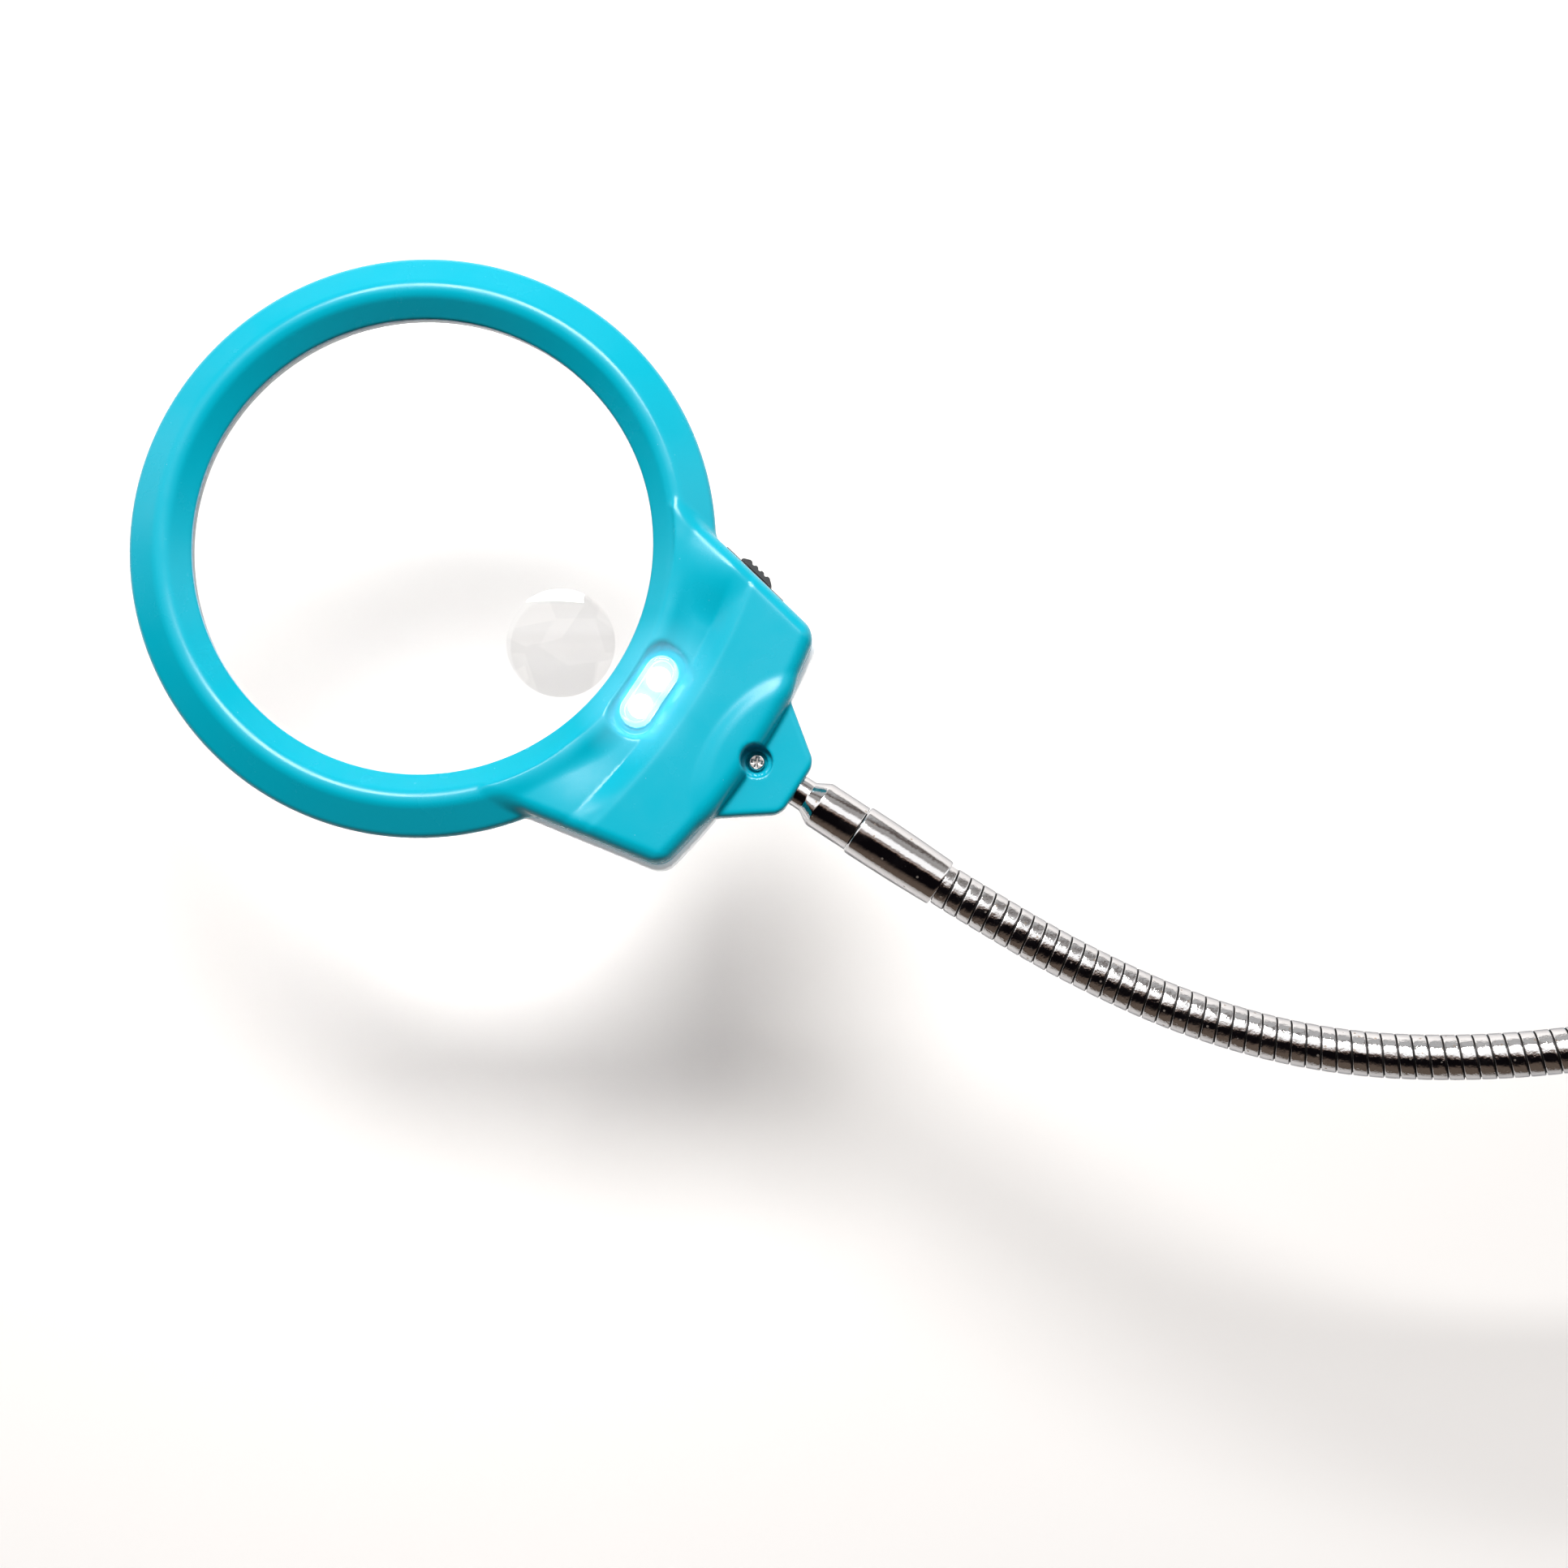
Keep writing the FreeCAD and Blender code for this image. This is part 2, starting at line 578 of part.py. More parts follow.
def switch_knob():
    """Slider's cap with sloping ends and three scallops for the thumb, on a stalk through the plate."""
    half = KNOB_LENGTH / 2
    low = -KNOB_WIDTH / 2
    cap = polygon([
        (-half, KNOB_FOOT), (half, KNOB_FOOT), (half - 0.2, KNOB_FOOT + 0.5), (KNOB_TOP_HALF, KNOB_TOP),
        (-KNOB_TOP_HALF, KNOB_TOP), (-half + 0.2, KNOB_FOOT + 0.5),
    ], low).extrude(Vector(0, 0, KNOB_WIDTH))
    scallops = []
    for count in (-1, 0, 1):
        scallops.append(post(KNOB_SCALLOP_R, count * KNOB_SCALLOP_PITCH, KNOB_TOP + 0.15, low - 1, -low + 1))
    stalk = box(-2.6, 2.6, -1.5, KNOB_FOOT + 0.05, -0.9, 0.9)
    return on_side(cap.cut(scallops).fuse(stalk).removeSplitter())


# ---- stem, sleeve and gooseneck ----
def stem():
    shaft = rod(STEM_R, STEM_INNER_Y, CONE_START_Y)
    cone = taper(CONE_START_Y, STEM_R, COLLAR_Y, COLLAR_R)
    collar = rod(COLLAR_R, COLLAR_Y, SLEEVE_Y + 0.2)
    spigot = rod(SPIGOT_R, SLEEVE_Y + 0.3, SPIGOT_END_Y)
    high = GROOVE_Y + GROOVE_WIDTH / 2
    low = GROOVE_Y - GROOVE_WIDTH / 2
    groove = rod(SPIGOT_R + 1, low, high).cut(rod(SPIGOT_R - GROOVE_DEPTH, low - 0.1, high + 0.1))
    return shaft.fuse([cone, collar, spigot]).cut(groove).removeSplitter()


def swivel_ring():
    """Split friction ring in the spigot's groove."""
    high = GROOVE_Y + GROOVE_WIDTH / 2 - 0.1
    low = GROOVE_Y - GROOVE_WIDTH / 2 + 0.1
    ring = rod(SPIGOT_R, low, high).cut(rod(SPIGOT_R - GROOVE_DEPTH + RUNNING_GAP, low - 1, high + 1))
    return ring.cut(box(-0.6, 0.6, low - 1, high + 1, 0, SPIGOT_R + 2))


def vertebra(length, has_cup):
    """Neck link along +Z from its own hinge at 0 to the next hinge at length."""
    top = length + CUP_RIM if has_cup else length
    body = turned([
        (0, 3.0), (2.6, 3.0), (NECK_R, 5.6), (NECK_R, top - 1.7), (NECK_R - 0.8, top), (0, top),
    ])
    ball = Part.makeSphere(BALL_R)
    shank = Part.makeCylinder(1.7, 4.0)
    link = body.fuse([ball, shank])
    if has_cup:
        link = link.cut(Part.makeCylinder(3.4, length - 12.2, Vector(0, 0, 6.6)))
        link = link.cut(Part.makeSphere(BALL_R + RUNNING_GAP, Vector(0, 0, length)))
    return link.removeSplitter()


def neck_link(start, end):
    link = vertebra((end - start).Length, True)
    link.Placement = along(start, end - start)
    return link


def neck_sleeve():
    """Tapered sleeve with the gooseneck's last stub and ball; the stem's spigot turns in its bore."""
    barrel = taper(SLEEVE_Y, SLEEVE_R, SLEEVE_END_Y, SLEEVE_END_R)
    stub_top = SLEEVE_END_Y + 0.5
    stub = vertebra(stub_top - LAST_HINGE_Y, False)
    stub.Placement = along(Vector(0, LAST_HINGE_Y, 0), Vector(0, 1, 0))
    bore = rod(SPIGOT_R + RUNNING_GAP, SLEEVE_Y + 1, SPIGOT_END_Y - 0.6)
    return barrel.fuse(stub).cut(bore).removeSplitter()


# ---- base ----
def base_cover():
    outer = turned([
        (0, PAD_THICKNESS), (BASE_R - 1, PAD_THICKNESS), (BASE_R, PAD_THICKNESS + 1),
        (BASE_R, BASE_EDGE_Z - 2), (BASE_R - 0.7, BASE_EDGE_Z - 0.6), (BASE_R - 2.4, BASE_EDGE_Z),
        (BASE_R * 0.62, BASE_TOP_Z - 2.2), (BASE_R * 0.3, BASE_TOP_Z - 0.2), (0, BASE_TOP_Z),
    ])
    hollow = turned([
        (0, 0), (WEIGHT_R + 0.3, 0), (WEIGHT_R + 0.3, BASE_EDGE_Z - 2.6),
        (BASE_R * 0.62, WEIGHT_TOP_Z + 0.2), (0, WEIGHT_TOP_Z + 0.2),
    ])
    stud_hole = post(STUD_R + 0.1, FERRULE_OFFSET, 0, 0, BASE_TOP_Z + 1)
    flat = post(FERRULE_R + 0.6, FERRULE_OFFSET, 0, BASE_TOP_Z, BASE_TOP_Z + 2)
    pilots = [post(1.2, x, y, 0, WEIGHT_TOP_Z + 1.4) for x, y in base_screw_spots()]
    return outer.cut([hollow, stud_hole, flat] + pilots)


def base_screw_spots():
    spots = []
    for count in range(3):
        turn = math.radians(60 + 120 * count)
        spots.append((BASE_SCREW_CIRCLE_R * math.cos(turn), BASE_SCREW_CIRCLE_R * math.sin(turn)))
    return spots


def base_weight():
    disc = turned([
        (0, PAD_THICKNESS + 0.6), (WEIGHT_R, PAD_THICKNESS + 0.6), (WEIGHT_R, BASE_EDGE_Z - 3.0),
        (BASE_R * 0.62, WEIGHT_TOP_Z), (0, WEIGHT_TOP_Z),
    ])
    stud_hole = post(STUD_R + 0.4, FERRULE_OFFSET, 0, 0, 20)
    nut_well = post(9.0, FERRULE_OFFSET, 0, 0, 7.0)
    holes = [post(1.9, x, y, 0, 20) for x, y in base_screw_spots()]
    heads = [post(3.4, x, y, 0, 4.2) for x, y in base_screw_spots()]
    return disc.cut([stud_hole, nut_well] + holes + heads)


def base_screws():
    return Part.makeCompound([
        screw(2.9, 4.15, 1.7, 1.15, WEIGHT_TOP_Z + 1.2, x, y, -1) for x, y in base_screw_spots()
    ])


def base_pad():
    return Part.makeCylinder(PAD_R, PAD_THICKNESS + 0.5)


def neck_ferrule():
    """Turned foot of the gooseneck: threaded stud below, cup for the first ball above."""
    hinge_z = BASE_TOP_Z + FERRULE_LENGTH
    body = turned([
        (0, BASE_TOP_Z + 0.02), (FERRULE_R, BASE_TOP_Z + 0.02), (FERRULE_R, BASE_TOP_Z + 5),
        (FERRULE_R - 1, BASE_TOP_Z + 6), (FERRULE_R - 1, BASE_TOP_Z + 9),
        (FERRULE_TOP_R, hinge_z - 4), (FERRULE_TOP_R - 0.2, hinge_z), (4.1, hinge_z + CUP_RIM),
        (0, hinge_z + CUP_RIM),
    ])
    stud = Part.makeCylinder(STUD_R, BASE_TOP_Z - 2.4, Vector(0, 0, 2.6))
    ball_seat = Part.makeSphere(BALL_R + RUNNING_GAP, Vector(0, 0, hinge_z))
    ferrule = body.fuse(stud).cut(ball_seat).removeSplitter()
    ferrule.translate(Vector(FERRULE_OFFSET, 0, 0))
    return ferrule


def ferrule_nut():
    corner_r = NUT_ACROSS_FLATS / 2 / math.cos(math.pi / 6)
    corners = []
    for count in range(6):
        turn = math.radians(60 * count)
        corners.append((corner_r * math.cos(turn), corner_r * math.sin(turn)))
    nut = polygon(corners, NUT_Z).extrude(Vector(0, 0, NUT_HEIGHT))
    nut = nut.cut(Part.makeCylinder(STUD_R + 0.02, 20))
    nut.translate(Vector(FERRULE_OFFSET, 0, 0))
    return nut


def ferrule_washer():
    washer = Part.makeCylinder(WASHER_R, WASHER_THICKNESS, Vector(0, 0, NUT_Z + NUT_HEIGHT + RUNNING_GAP))
    washer = washer.cut(Part.makeCylinder(STUD_R + 0.2, 20))
    washer.translate(Vector(FERRULE_OFFSET, 0, 0))
    return washer


# ---- export ----
def head_pieces():
    pieces = {
        "front_cover": front_cover(),
        "back_cover": back_cover(),
        "main_lens": main_lens(),
        "led_window": led_window(),
        "leds": leds(),
        "led_board": led_board(),
        "led_resistor": resistor(),
        "contact_springs": contact_springs(),
        "contact_plates": contact_plates(),
        "battery_cover": battery_cover(),
        "wires": wires(),
        "tab_screw": tab_screw(),
        "back_screws": back_screws(),
        "switch_plate": switch_plate(),
        "switch_body": switch_body(),
        "switch_knob": switch_knob(),
        "stem": stem(),
        "swivel_ring": swivel_ring(),
        "neck_sleeve": neck_sleeve(),
    }
    for count, (y, tip_side) in enumerate(zip(CELL_YS, CELL_TIP_SIDES)):
        pieces["battery_%d" % (count + 1)] = cell(y, tip_side)
    placement = head_placement()
    for piece in pieces.values():
        piece.Placement = placement.multiply(piece.Placement)
    return pieces


def row_pieces():
    pieces = {
        "base_cover": base_cover(),
        "base_weight": base_weight(),
        "base_screws": base_screws(),
        "base_pad": base_pad(),
        "neck_ferrule": neck_ferrule(),
        "ferrule_nut": ferrule_nut(),
        "ferrule_washer": ferrule_washer(),
    }
    points = neck_hinges()
    for count in range(len(points) - 1):
        pieces["neck_link_%02d" % (count + 1)] = neck_link(points[count], points[count + 1])
    return pieces


def main():
    os.makedirs("parts", exist_ok=True)
    pieces = head_pieces()
    pieces.update(row_pieces())
    for name, piece in pieces.items():
        piece.exportStep("parts/%s.step" % name)
        print("%s: %d solids, %.0f mm3, valid %s" % (name, len(piece.Solids), piece.Volume, piece.isValid()))


if __name__ == "__main__":
    main()
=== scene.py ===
"""Looks of the hands-free magnifying lamp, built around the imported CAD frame.

Shapes are given in millimetres in the head frame (x across, y away from the neck, z out of the
front face, origin at the lens centre) or about an axis, and placed in the row frame in metres.
"""

import json
import math

import bmesh
import bpy
import numpy as np
from mathutils import Matrix, Vector


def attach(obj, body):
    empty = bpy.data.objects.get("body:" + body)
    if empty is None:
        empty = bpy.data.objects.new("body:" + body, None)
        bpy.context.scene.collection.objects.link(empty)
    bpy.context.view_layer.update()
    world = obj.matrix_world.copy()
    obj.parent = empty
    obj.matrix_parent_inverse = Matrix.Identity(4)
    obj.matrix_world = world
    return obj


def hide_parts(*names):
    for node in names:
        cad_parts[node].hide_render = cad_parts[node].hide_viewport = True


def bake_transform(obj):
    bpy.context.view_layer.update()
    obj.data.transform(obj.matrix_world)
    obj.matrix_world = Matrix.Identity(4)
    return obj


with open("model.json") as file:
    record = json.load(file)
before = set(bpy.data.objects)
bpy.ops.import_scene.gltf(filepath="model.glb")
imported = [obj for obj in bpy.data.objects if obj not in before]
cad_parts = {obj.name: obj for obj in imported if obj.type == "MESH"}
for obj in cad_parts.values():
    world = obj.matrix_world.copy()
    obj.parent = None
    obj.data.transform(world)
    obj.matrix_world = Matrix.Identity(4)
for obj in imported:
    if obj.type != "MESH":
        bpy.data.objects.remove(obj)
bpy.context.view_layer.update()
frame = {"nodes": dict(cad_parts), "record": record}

MM = 0.001
RECORD = frame["record"]
JOINTS = {joint["name"]: joint for joint in RECORD["behaviour"]["joints"]}

# ---- sizes shared with the CAD part, millimetres ----
LENS_R = 54.0
LENS_RIM_LOW = -0.4
LENS_RIM_HIGH = 1.2
LENS_SAG = 3.2
LENS_GAP = 0.2
LENS_SEAT_GAP = 0.1
APERTURE_R = 52.6
SPOT = (-1.6, -39.1)
SPOT_R = 12.3
SPOT_HEIGHT = 1.5
RING_R = 67.0
CREST_R = 58.4
CREST_Z = 7.0
CREST_ROUND = 2.7
CREST_LIFT = 0.95
RING_INNER_Z = 2.5
RING_EDGE_Z = 2.6
BACK_RING_R = 66.4
BACK_APERTURE_R = 53.1
BACK_RING_Z = -3.8
SEAM = 0.15
TOP_Y = -50.0
CORNER_Y = -86.6
BOTTOM_Y = -90.1
TOP_HALF_WIDTH = 38.8
CORNER_HALF_WIDTH = 31.6
WALL = 1.8
BACK_WALL = 1.6
HOUSING_START_Y = -44.0
HOUSING_INNER_R = 58.2
FRONT_HOLLOW_Y = -86.2
BACK_HOLLOW_Y = -88.6
SADDLE_Z = 5.5
PLATEAU_Z = 9.0
PLATEAU_ARC_R = 142.0
PLATEAU_Y = -72.4
PLATEAU_SLOPE = 5.0
BACK_Z = -9.4
BACK_LIP = 0.4
BACK_INNER_R = 56.6
LED_Y = -62.3
LED_PITCH = 7.4
LED_R = 2.5
LED_SEAT_Z = 1.6
WINDOW_HALF = 5.15
WINDOW_R = 3.75
WINDOW_Z = 6.2
WINDOW_FOOT_Z = 2.7
WINDOW_WALL = 1.0
WINDOW_GAP = 0.05
RECESS_HALF = 6.1
RECESS_R = 4.55
RECESS_SHIFT = 0.45
RECESS_Z = 4.4
RECESS_FLARE = 0.8
SCREW_Y = -91.3
SCREW_FLOOR_Z = 2.0
SCREW_HEAD_R = 1.88
SCREW_HEAD_Z = 3.3
SCREW_HOLE_R = 1.25
SCREW_TURN = 22
COUNTERBORE_R = 3.55
COUNTERBORE_Z = 3.2
TAB_TOP_HALF = 15.8
TAB_END_HALF = 6.8
TAB_START_Y = -85.0
TAB_END_Y = -102.3
TAB_Z = 5.0
SWITCH_Y = -66.7
SWITCH_SLOT = (7.5, 4, 1.6)
SWITCH_SLOT_Z = -3.6
COVER_HALF_WIDTH = 25.15
COVER_TOP_Y = -63.85
COVER_FACE_Z = -7.85
COVER_RAIL = 1.0
COVER_RAIL_Z = -8.6
BACK_SCREW = (27.5, -59.5)
BACK_SCREW_R = 2.3
BACK_SCREW_Z = -7.4
STEM_R = 3.7
STEM_GAP = 0.05
STEM_BORE_Y = -96.4
STEM_TOP_Y = -96.6
CONE_START_Y = -105.1
COLLAR_Y = -108.2
COLLAR_END_Y = -118.4
COLLAR_R = 5.55
SPIGOT_R = 4.0
SPIGOT_END_Y = -135.0
SLEEVE_Y = -118.6
SLEEVE_END_Y = -140.8
SLEEVE_R = 6.0
SLEEVE_END_R = 5.6
SLEEVE_BORE_R = 4.05
SLEEVE_BORE = 16.9
NECK_R = 4.92
NECK_SOCKET = 3
NECK_PITCH = 3.3
NECK_FOOT_DROP = 12
NECK_HEAD_REACH = 7.5
BASE_R = 70.0
BASE_TOP_Z = 15.0
FERRULE_LENGTH = 27.0
FERRULE_SHOULDER = 7.0

# ---- mesh steps of the moulded pieces, millimetres ----
FRONT_STEP = 0.5
BACK_STEP = 0.55
WINDOW_STEP = 0.22
SCREW_STEP = 0.08
NECK_SAMPLES = 60
NECK_COLUMNS = 72


# ---- frames ----
def head_matrix():
    """Head frame from the swivel's axis and the switch's direction of travel."""
    swivel = JOINTS["head_swivel"]
    up = Vector(swivel["axis"]).normalized()
    along_side = Vector(JOINTS["switch_slide"]["axis"])
    across = (along_side - up * along_side.dot(up)).normalized()
    front = across.cross(up)
    centre = Vector(swivel["pos_m"]) - up * SLEEVE_Y * MM
    matrix = Matrix((across, up, front)).transposed().to_4x4()
    matrix.translation = centre
    return matrix


HEAD = head_matrix()
HEAD_MM = HEAD @ Matrix.Scale(MM, 4)


def about(origin, heading, spin=(1, 0, 0)):
    """Frame in metres whose Z runs along heading from origin, for shapes given in millimetres."""
    z_axis = Vector(heading).normalized()
    x_axis = (Vector(spin) - z_axis * Vector(spin).dot(z_axis)).normalized()
    matrix = Matrix((x_axis, z_axis.cross(x_axis), z_axis)).transposed().to_4x4()
    matrix.translation = Vector(origin)
    return matrix @ Matrix.Scale(MM, 4)


# ---- mesh helpers ----
def make_mesh(name, points, faces, matrix, material, smooth_angle):
    """Object from points in millimetres, placed by matrix; edges sharper than smooth_angle stay crisp."""
    mesh = bpy.data.meshes.new(name)
    flat = np.asarray(matrix)[:3, :3] @ np.asarray(points, float).T
    placed = flat.T + np.asarray(matrix)[:3, 3]
    mesh.from_pydata(placed.tolist(), [], [tuple(face) for face in faces])
    mesh.update()
    obj = bpy.data.objects.new(name, mesh)
    bpy.context.collection.objects.link(obj)
    mesh.materials.append(material)
    finish_mesh(mesh, smooth_angle)
    return obj


def finish_mesh(mesh, smooth_angle):
    """Normals outwards, faces smooth, and edges crisp where the surface turns by more than smooth_angle."""
    limit = math.radians(smooth_angle)
    work = bmesh.new()
    work.from_mesh(mesh)
    bmesh.ops.recalc_face_normals(work, faces=work.faces)
    for edge in work.edges:
        edge.smooth = len(edge.link_faces) < 2 or edge.calc_face_angle(0) < limit
    for face in work.faces:
        face.smooth = True
    work.to_mesh(mesh)
    work.free()


def lathe(name, profile, matrix, material, sides=128, smooth_angle=25):
    """Turned solid from (radius, height) points; the first and last points lie on the axis."""
    points = []
    faces = []
    for radius, height in profile[1:-1]:
        for k in range(sides):
            turn = 2 * math.pi * k / sides
            points.append((radius * math.cos(turn), radius * math.sin(turn), height))
    rings = len(profile) - 2
    for j in range(rings - 1):
        for k in range(sides):
            k2 = (k + 1) % sides
            faces.append((j * sides + k, j * sides + k2, (j + 1) * sides + k2, (j + 1) * sides + k))
    for end, ring in ((0, 0), (-1, rings - 1)):
        tip = len(points)
        points.append((0, 0, profile[end][1]))
        for k in range(sides):
            k2 = (k + 1) % sides
            faces.append((tip, ring * sides + k, ring * sides + k2))
    return make_mesh(name, points, faces, matrix, material, smooth_angle)


def rounded(profile, radius, steps=4):
    """Profile with each inner corner replaced by a short curve of about the given radius."""
    out = [profile[0]]
    for before, here, after in zip(profile, profile[1:], profile[2:]):
        a, b, c = (np.array(p, float) for p in (before, here, after))
        reach_in = min(radius, np.linalg.norm(a - b) * 0.45)
        reach_out = min(radius, np.linalg.norm(c - b) * 0.45)
        start = b + (a - b) / np.linalg.norm(a - b) * reach_in
        end = b + (c - b) / np.linalg.norm(c - b) * reach_out
        for k in range(steps + 1):
            t = k / steps
            out.append(tuple((1 - t) ** 2 * start + 2 * t * (1 - t) * b + t * t * end))
    out.append(profile[-1])
    return out


# ---- fields: negative inside, in millimetres ----
def hard_and(*fields):
    """Overlap of fields with sharp edges."""
    return np.maximum.reduce(fields)


def soft_and(a, b, radius):
    """Overlap of two fields with the edge rounded to the given radius."""
    u = np.maximum(a + radius, 0)
    v = np.maximum(b + radius, 0)
    return np.minimum(np.maximum(a, b), -radius) + np.hypot(u, v)


def soft_or(a, b, radius):
    """Union of two fields with a fillet of the given radius between them."""
    return -soft_and(-a, -b, radius)


def step_between(value, low, high):
    """Smooth step from 0 at low to 1 at high."""
    t = np.clip((value - low) / (high - low), 0, 1)
    return t * t * (3 - 2 * t)


def slant_field(across, up, run, drop):
    """Distance above a flat slope that falls by drop while it goes outwards by run."""
    return (across * drop + up * run) / math.hypot(drop, run)


def stadium_field(x, y, half, radius):
    """Oval round the two LEDs, negative inside."""
    return np.hypot(np.maximum(np.abs(x) - half, 0), y - LED_Y) - radius


SIDE_SLOPE = (TOP_HALF_WIDTH - CORNER_HALF_WIDTH) / (TOP_Y - CORNER_Y)
CORNER_ROUND = 3.0


def bow_field(x, y):
    """Distance beyond the arc of the housing's lower edge."""
    rise = CORNER_Y - BOTTOM_Y
    bow_r = (CORNER_HALF_WIDTH ** 2 + rise ** 2) / (2 * rise)
    return np.hypot(x, y - BOTTOM_Y - bow_r) - bow_r


def outline_field(x, y, grow=0.0):
    """Housing outline: tapered sides, bowed lower edge, rounded corners."""
    side = (np.abs(x) - CORNER_HALF_WIDTH - (y - CORNER_Y) * SIDE_SLOPE) / math.hypot(1, SIDE_SLOPE)
    return soft_and(side - grow, bow_field(x, y) - grow, CORNER_ROUND)


def ring_field(x, y, z):
    """Turquoise ring: gentle outer band, soft crest, steep inner band."""
    edge_round = 0.9
    aperture_round = 0.3
    peak = CREST_Z + CREST_LIFT
    r = np.hypot(x, y)
    outer = slant_field(r - RING_R, z - RING_EDGE_Z, RING_R - CREST_R, peak - RING_EDGE_Z)
    inner = slant_field(APERTURE_R - r, z - RING_INNER_Z, CREST_R - APERTURE_R, peak - RING_INNER_Z)
    body = soft_and(outer, inner, CREST_ROUND)
    body = soft_and(body, r - RING_R, edge_round)
    return soft_and(body, APERTURE_R - r, aperture_round)


def housing_top(x, y):
    """Height of the housing's face: dished saddle, side shoulders, raised cell bay."""
    slope_foot = 0.8
    slope_curve = 0.6
    dish_height = 0.4
    dish_from, dish_to = 8, 28
    dip_depth, dip_y, dip_width = 0.25, -68.6, 2.4
    ridge_z = 7.3
    ridge_from, ridge_to = 50, 64
    right_from, right_to = 19, 33.5
    left_from, left_to, left_share = 14, 34, 0.7
    from_arc = np.hypot(x, y - (PLATEAU_Y + PLATEAU_ARC_R)) - PLATEAU_ARC_R
    rise = step_between(from_arc, -PLATEAU_SLOPE, slope_foot) ** slope_curve
    dish = dish_height * step_between(np.abs(x), dish_from, dish_to)
    middle = SADDLE_Z + dish + (PLATEAU_Z - SADDLE_Z - dish) * rise
    dip = dip_depth * np.exp(-((y - dip_y) / dip_width) ** 2)
    ridge = ridge_z + (PLATEAU_Z - ridge_z) * step_between(-y, ridge_from, ridge_to) - dip
    right = step_between(x, right_from, right_to)
    left = left_share * step_between(-x, left_from, left_to)
    return middle + (np.maximum(ridge, middle) - middle) * np.where(x > 0, right, left)


def bulge_field(x, y, z):
    """Thumb-shaped swelling over the lower edge."""
    centre_x, centre_y = 0.7, -92.5
    half_width, half_length = 20.3, 12.0
    lift = 0.55
    fall, fall_from_y = 0.02, -84
    overhang = 0.5
    foot_z = 3.0
    top_round = 3.0
    edge_round = 2.9
    u = (x - centre_x) / half_width
    v = (y - centre_y) / half_length
    ellipse = (np.sqrt(u * u + v * v) - 1) * half_length
    top = z - (PLATEAU_Z + lift - fall * np.maximum(fall_from_y - y, 0) ** 2)
    face = soft_and(ellipse, top, top_round)
    return hard_and(soft_and(face, bow_field(x, y) - overhang, edge_round), foot_z - z)


def tab_field(x, y, z, grow, height):
    """Tapered tab under the housing, up to the given height field."""
    corner_round = 1.6
    top_round = 1.2
    run = TAB_TOP_HALF - TAB_END_HALF
    drop = BOTTOM_Y - TAB_END_Y
    side = slant_field(np.abs(x) - TAB_TOP_HALF - grow, BOTTOM_Y - y, run, drop)
    end = TAB_END_Y - grow - y
    plan = soft_and(side, end, corner_round)
    return hard_and(soft_and(plan, height, top_round), y - TAB_START_Y)


def stem_bore_field(x, y, z):
    """Bore that holds the stem between the two tabs."""
    return hard_and(np.hypot(x, z) - STEM_R - STEM_GAP, y - STEM_BORE_Y)


def tab_screw_hole_field(x, y, z):
    """Hole for the tab screw's shank, and the flared well for its head."""
    well_r, well_z, flare = 2.4, 2.4, 0.2
    from_screw = np.hypot(x, y - SCREW_Y)
    well = hard_and(from_screw - well_r - (z - well_z) * flare, SCREW_FLOOR_Z - z)
    return np.minimum(well, from_screw - SCREW_HOLE_R)


def boss_field(x, y, z):
    """Block behind the LED recess, kept clear of the lens."""
    lengthen, widen = 1.2, 2.2
    floor_z = 2.9
    gap = 0.6
    plan = stadium_field(x, y + RECESS_SHIFT, RECESS_HALF + lengthen, RECESS_R + widen)
    return hard_and(plan, floor_z - z, LENS_R + gap - np.hypot(x, y))


def front_field(p):
    """Front cover: ring, housing, bulge and tab in one skin, less its hollow, seats and holes."""
    face_scale = 0.94
    housing_round = 3.3
    ring_fillet, bulge_fillet, tab_fillet = 1.6, 2.0, 0.8
    recess_round, counterbore_round = 0.5, 0.3
    x, y, z = p
    r = np.hypot(x, y)
    ring = ring_field(x, y, z)
    housing = soft_and(outline_field(x, y), (z - housing_top(x, y)) * face_scale, housing_round)
    housing = hard_and(housing, HOUSING_INNER_R - r, y - HOUSING_START_Y)
    core = soft_or(ring, housing, ring_fillet)
    whole = soft_or(core, bulge_field(x, y, z), bulge_fillet)
    whole = soft_or(whole, tab_field(x, y, z, 0, z - TAB_Z), tab_fillet)
    hollow = hard_and(np.minimum(ring, housing) + WALL, LENS_R + WALL - r, FRONT_HOLLOW_Y - y)
    whole = hard_and(whole, -hollow, SEAM - z)
    whole = np.minimum(whole, hard_and(boss_field(x, y, z), core))
    recess = stadium_field(x, y + RECESS_SHIFT, RECESS_HALF, RECESS_R) - (z - RECESS_Z) * RECESS_FLARE
    recess = hard_and(recess, RECESS_Z - z)
    counterbore = hard_and(np.hypot(x, y - SCREW_Y) - COUNTERBORE_R, COUNTERBORE_Z - z)
    lens_seat = hard_and(r - LENS_R - LENS_GAP, z - LENS_RIM_HIGH - LENS_SEAT_GAP)
    opening = stadium_field(x, y, WINDOW_HALF, WINDOW_R + WINDOW_GAP)
    whole = soft_and(whole, -recess, recess_round)
    whole = soft_and(whole, -counterbore, counterbore_round)
    holes = (lens_seat, opening, tab_screw_hole_field(x, y, z), stem_bore_field(x, y, z))
    return hard_and(whole, *(-hole for hole in holes))


def side_frame():
    """Switch side wall in the head frame: origin, direction along the wall, outward direction."""
    angle = math.atan(SIDE_SLOPE)
    middle_x = CORNER_HALF_WIDTH + BACK_LIP + SIDE_SLOPE * (SWITCH_Y - CORNER_Y)
    return (middle_x, SWITCH_Y), (math.sin(angle), math.cos(angle)), (math.cos(angle), -math.sin(angle))


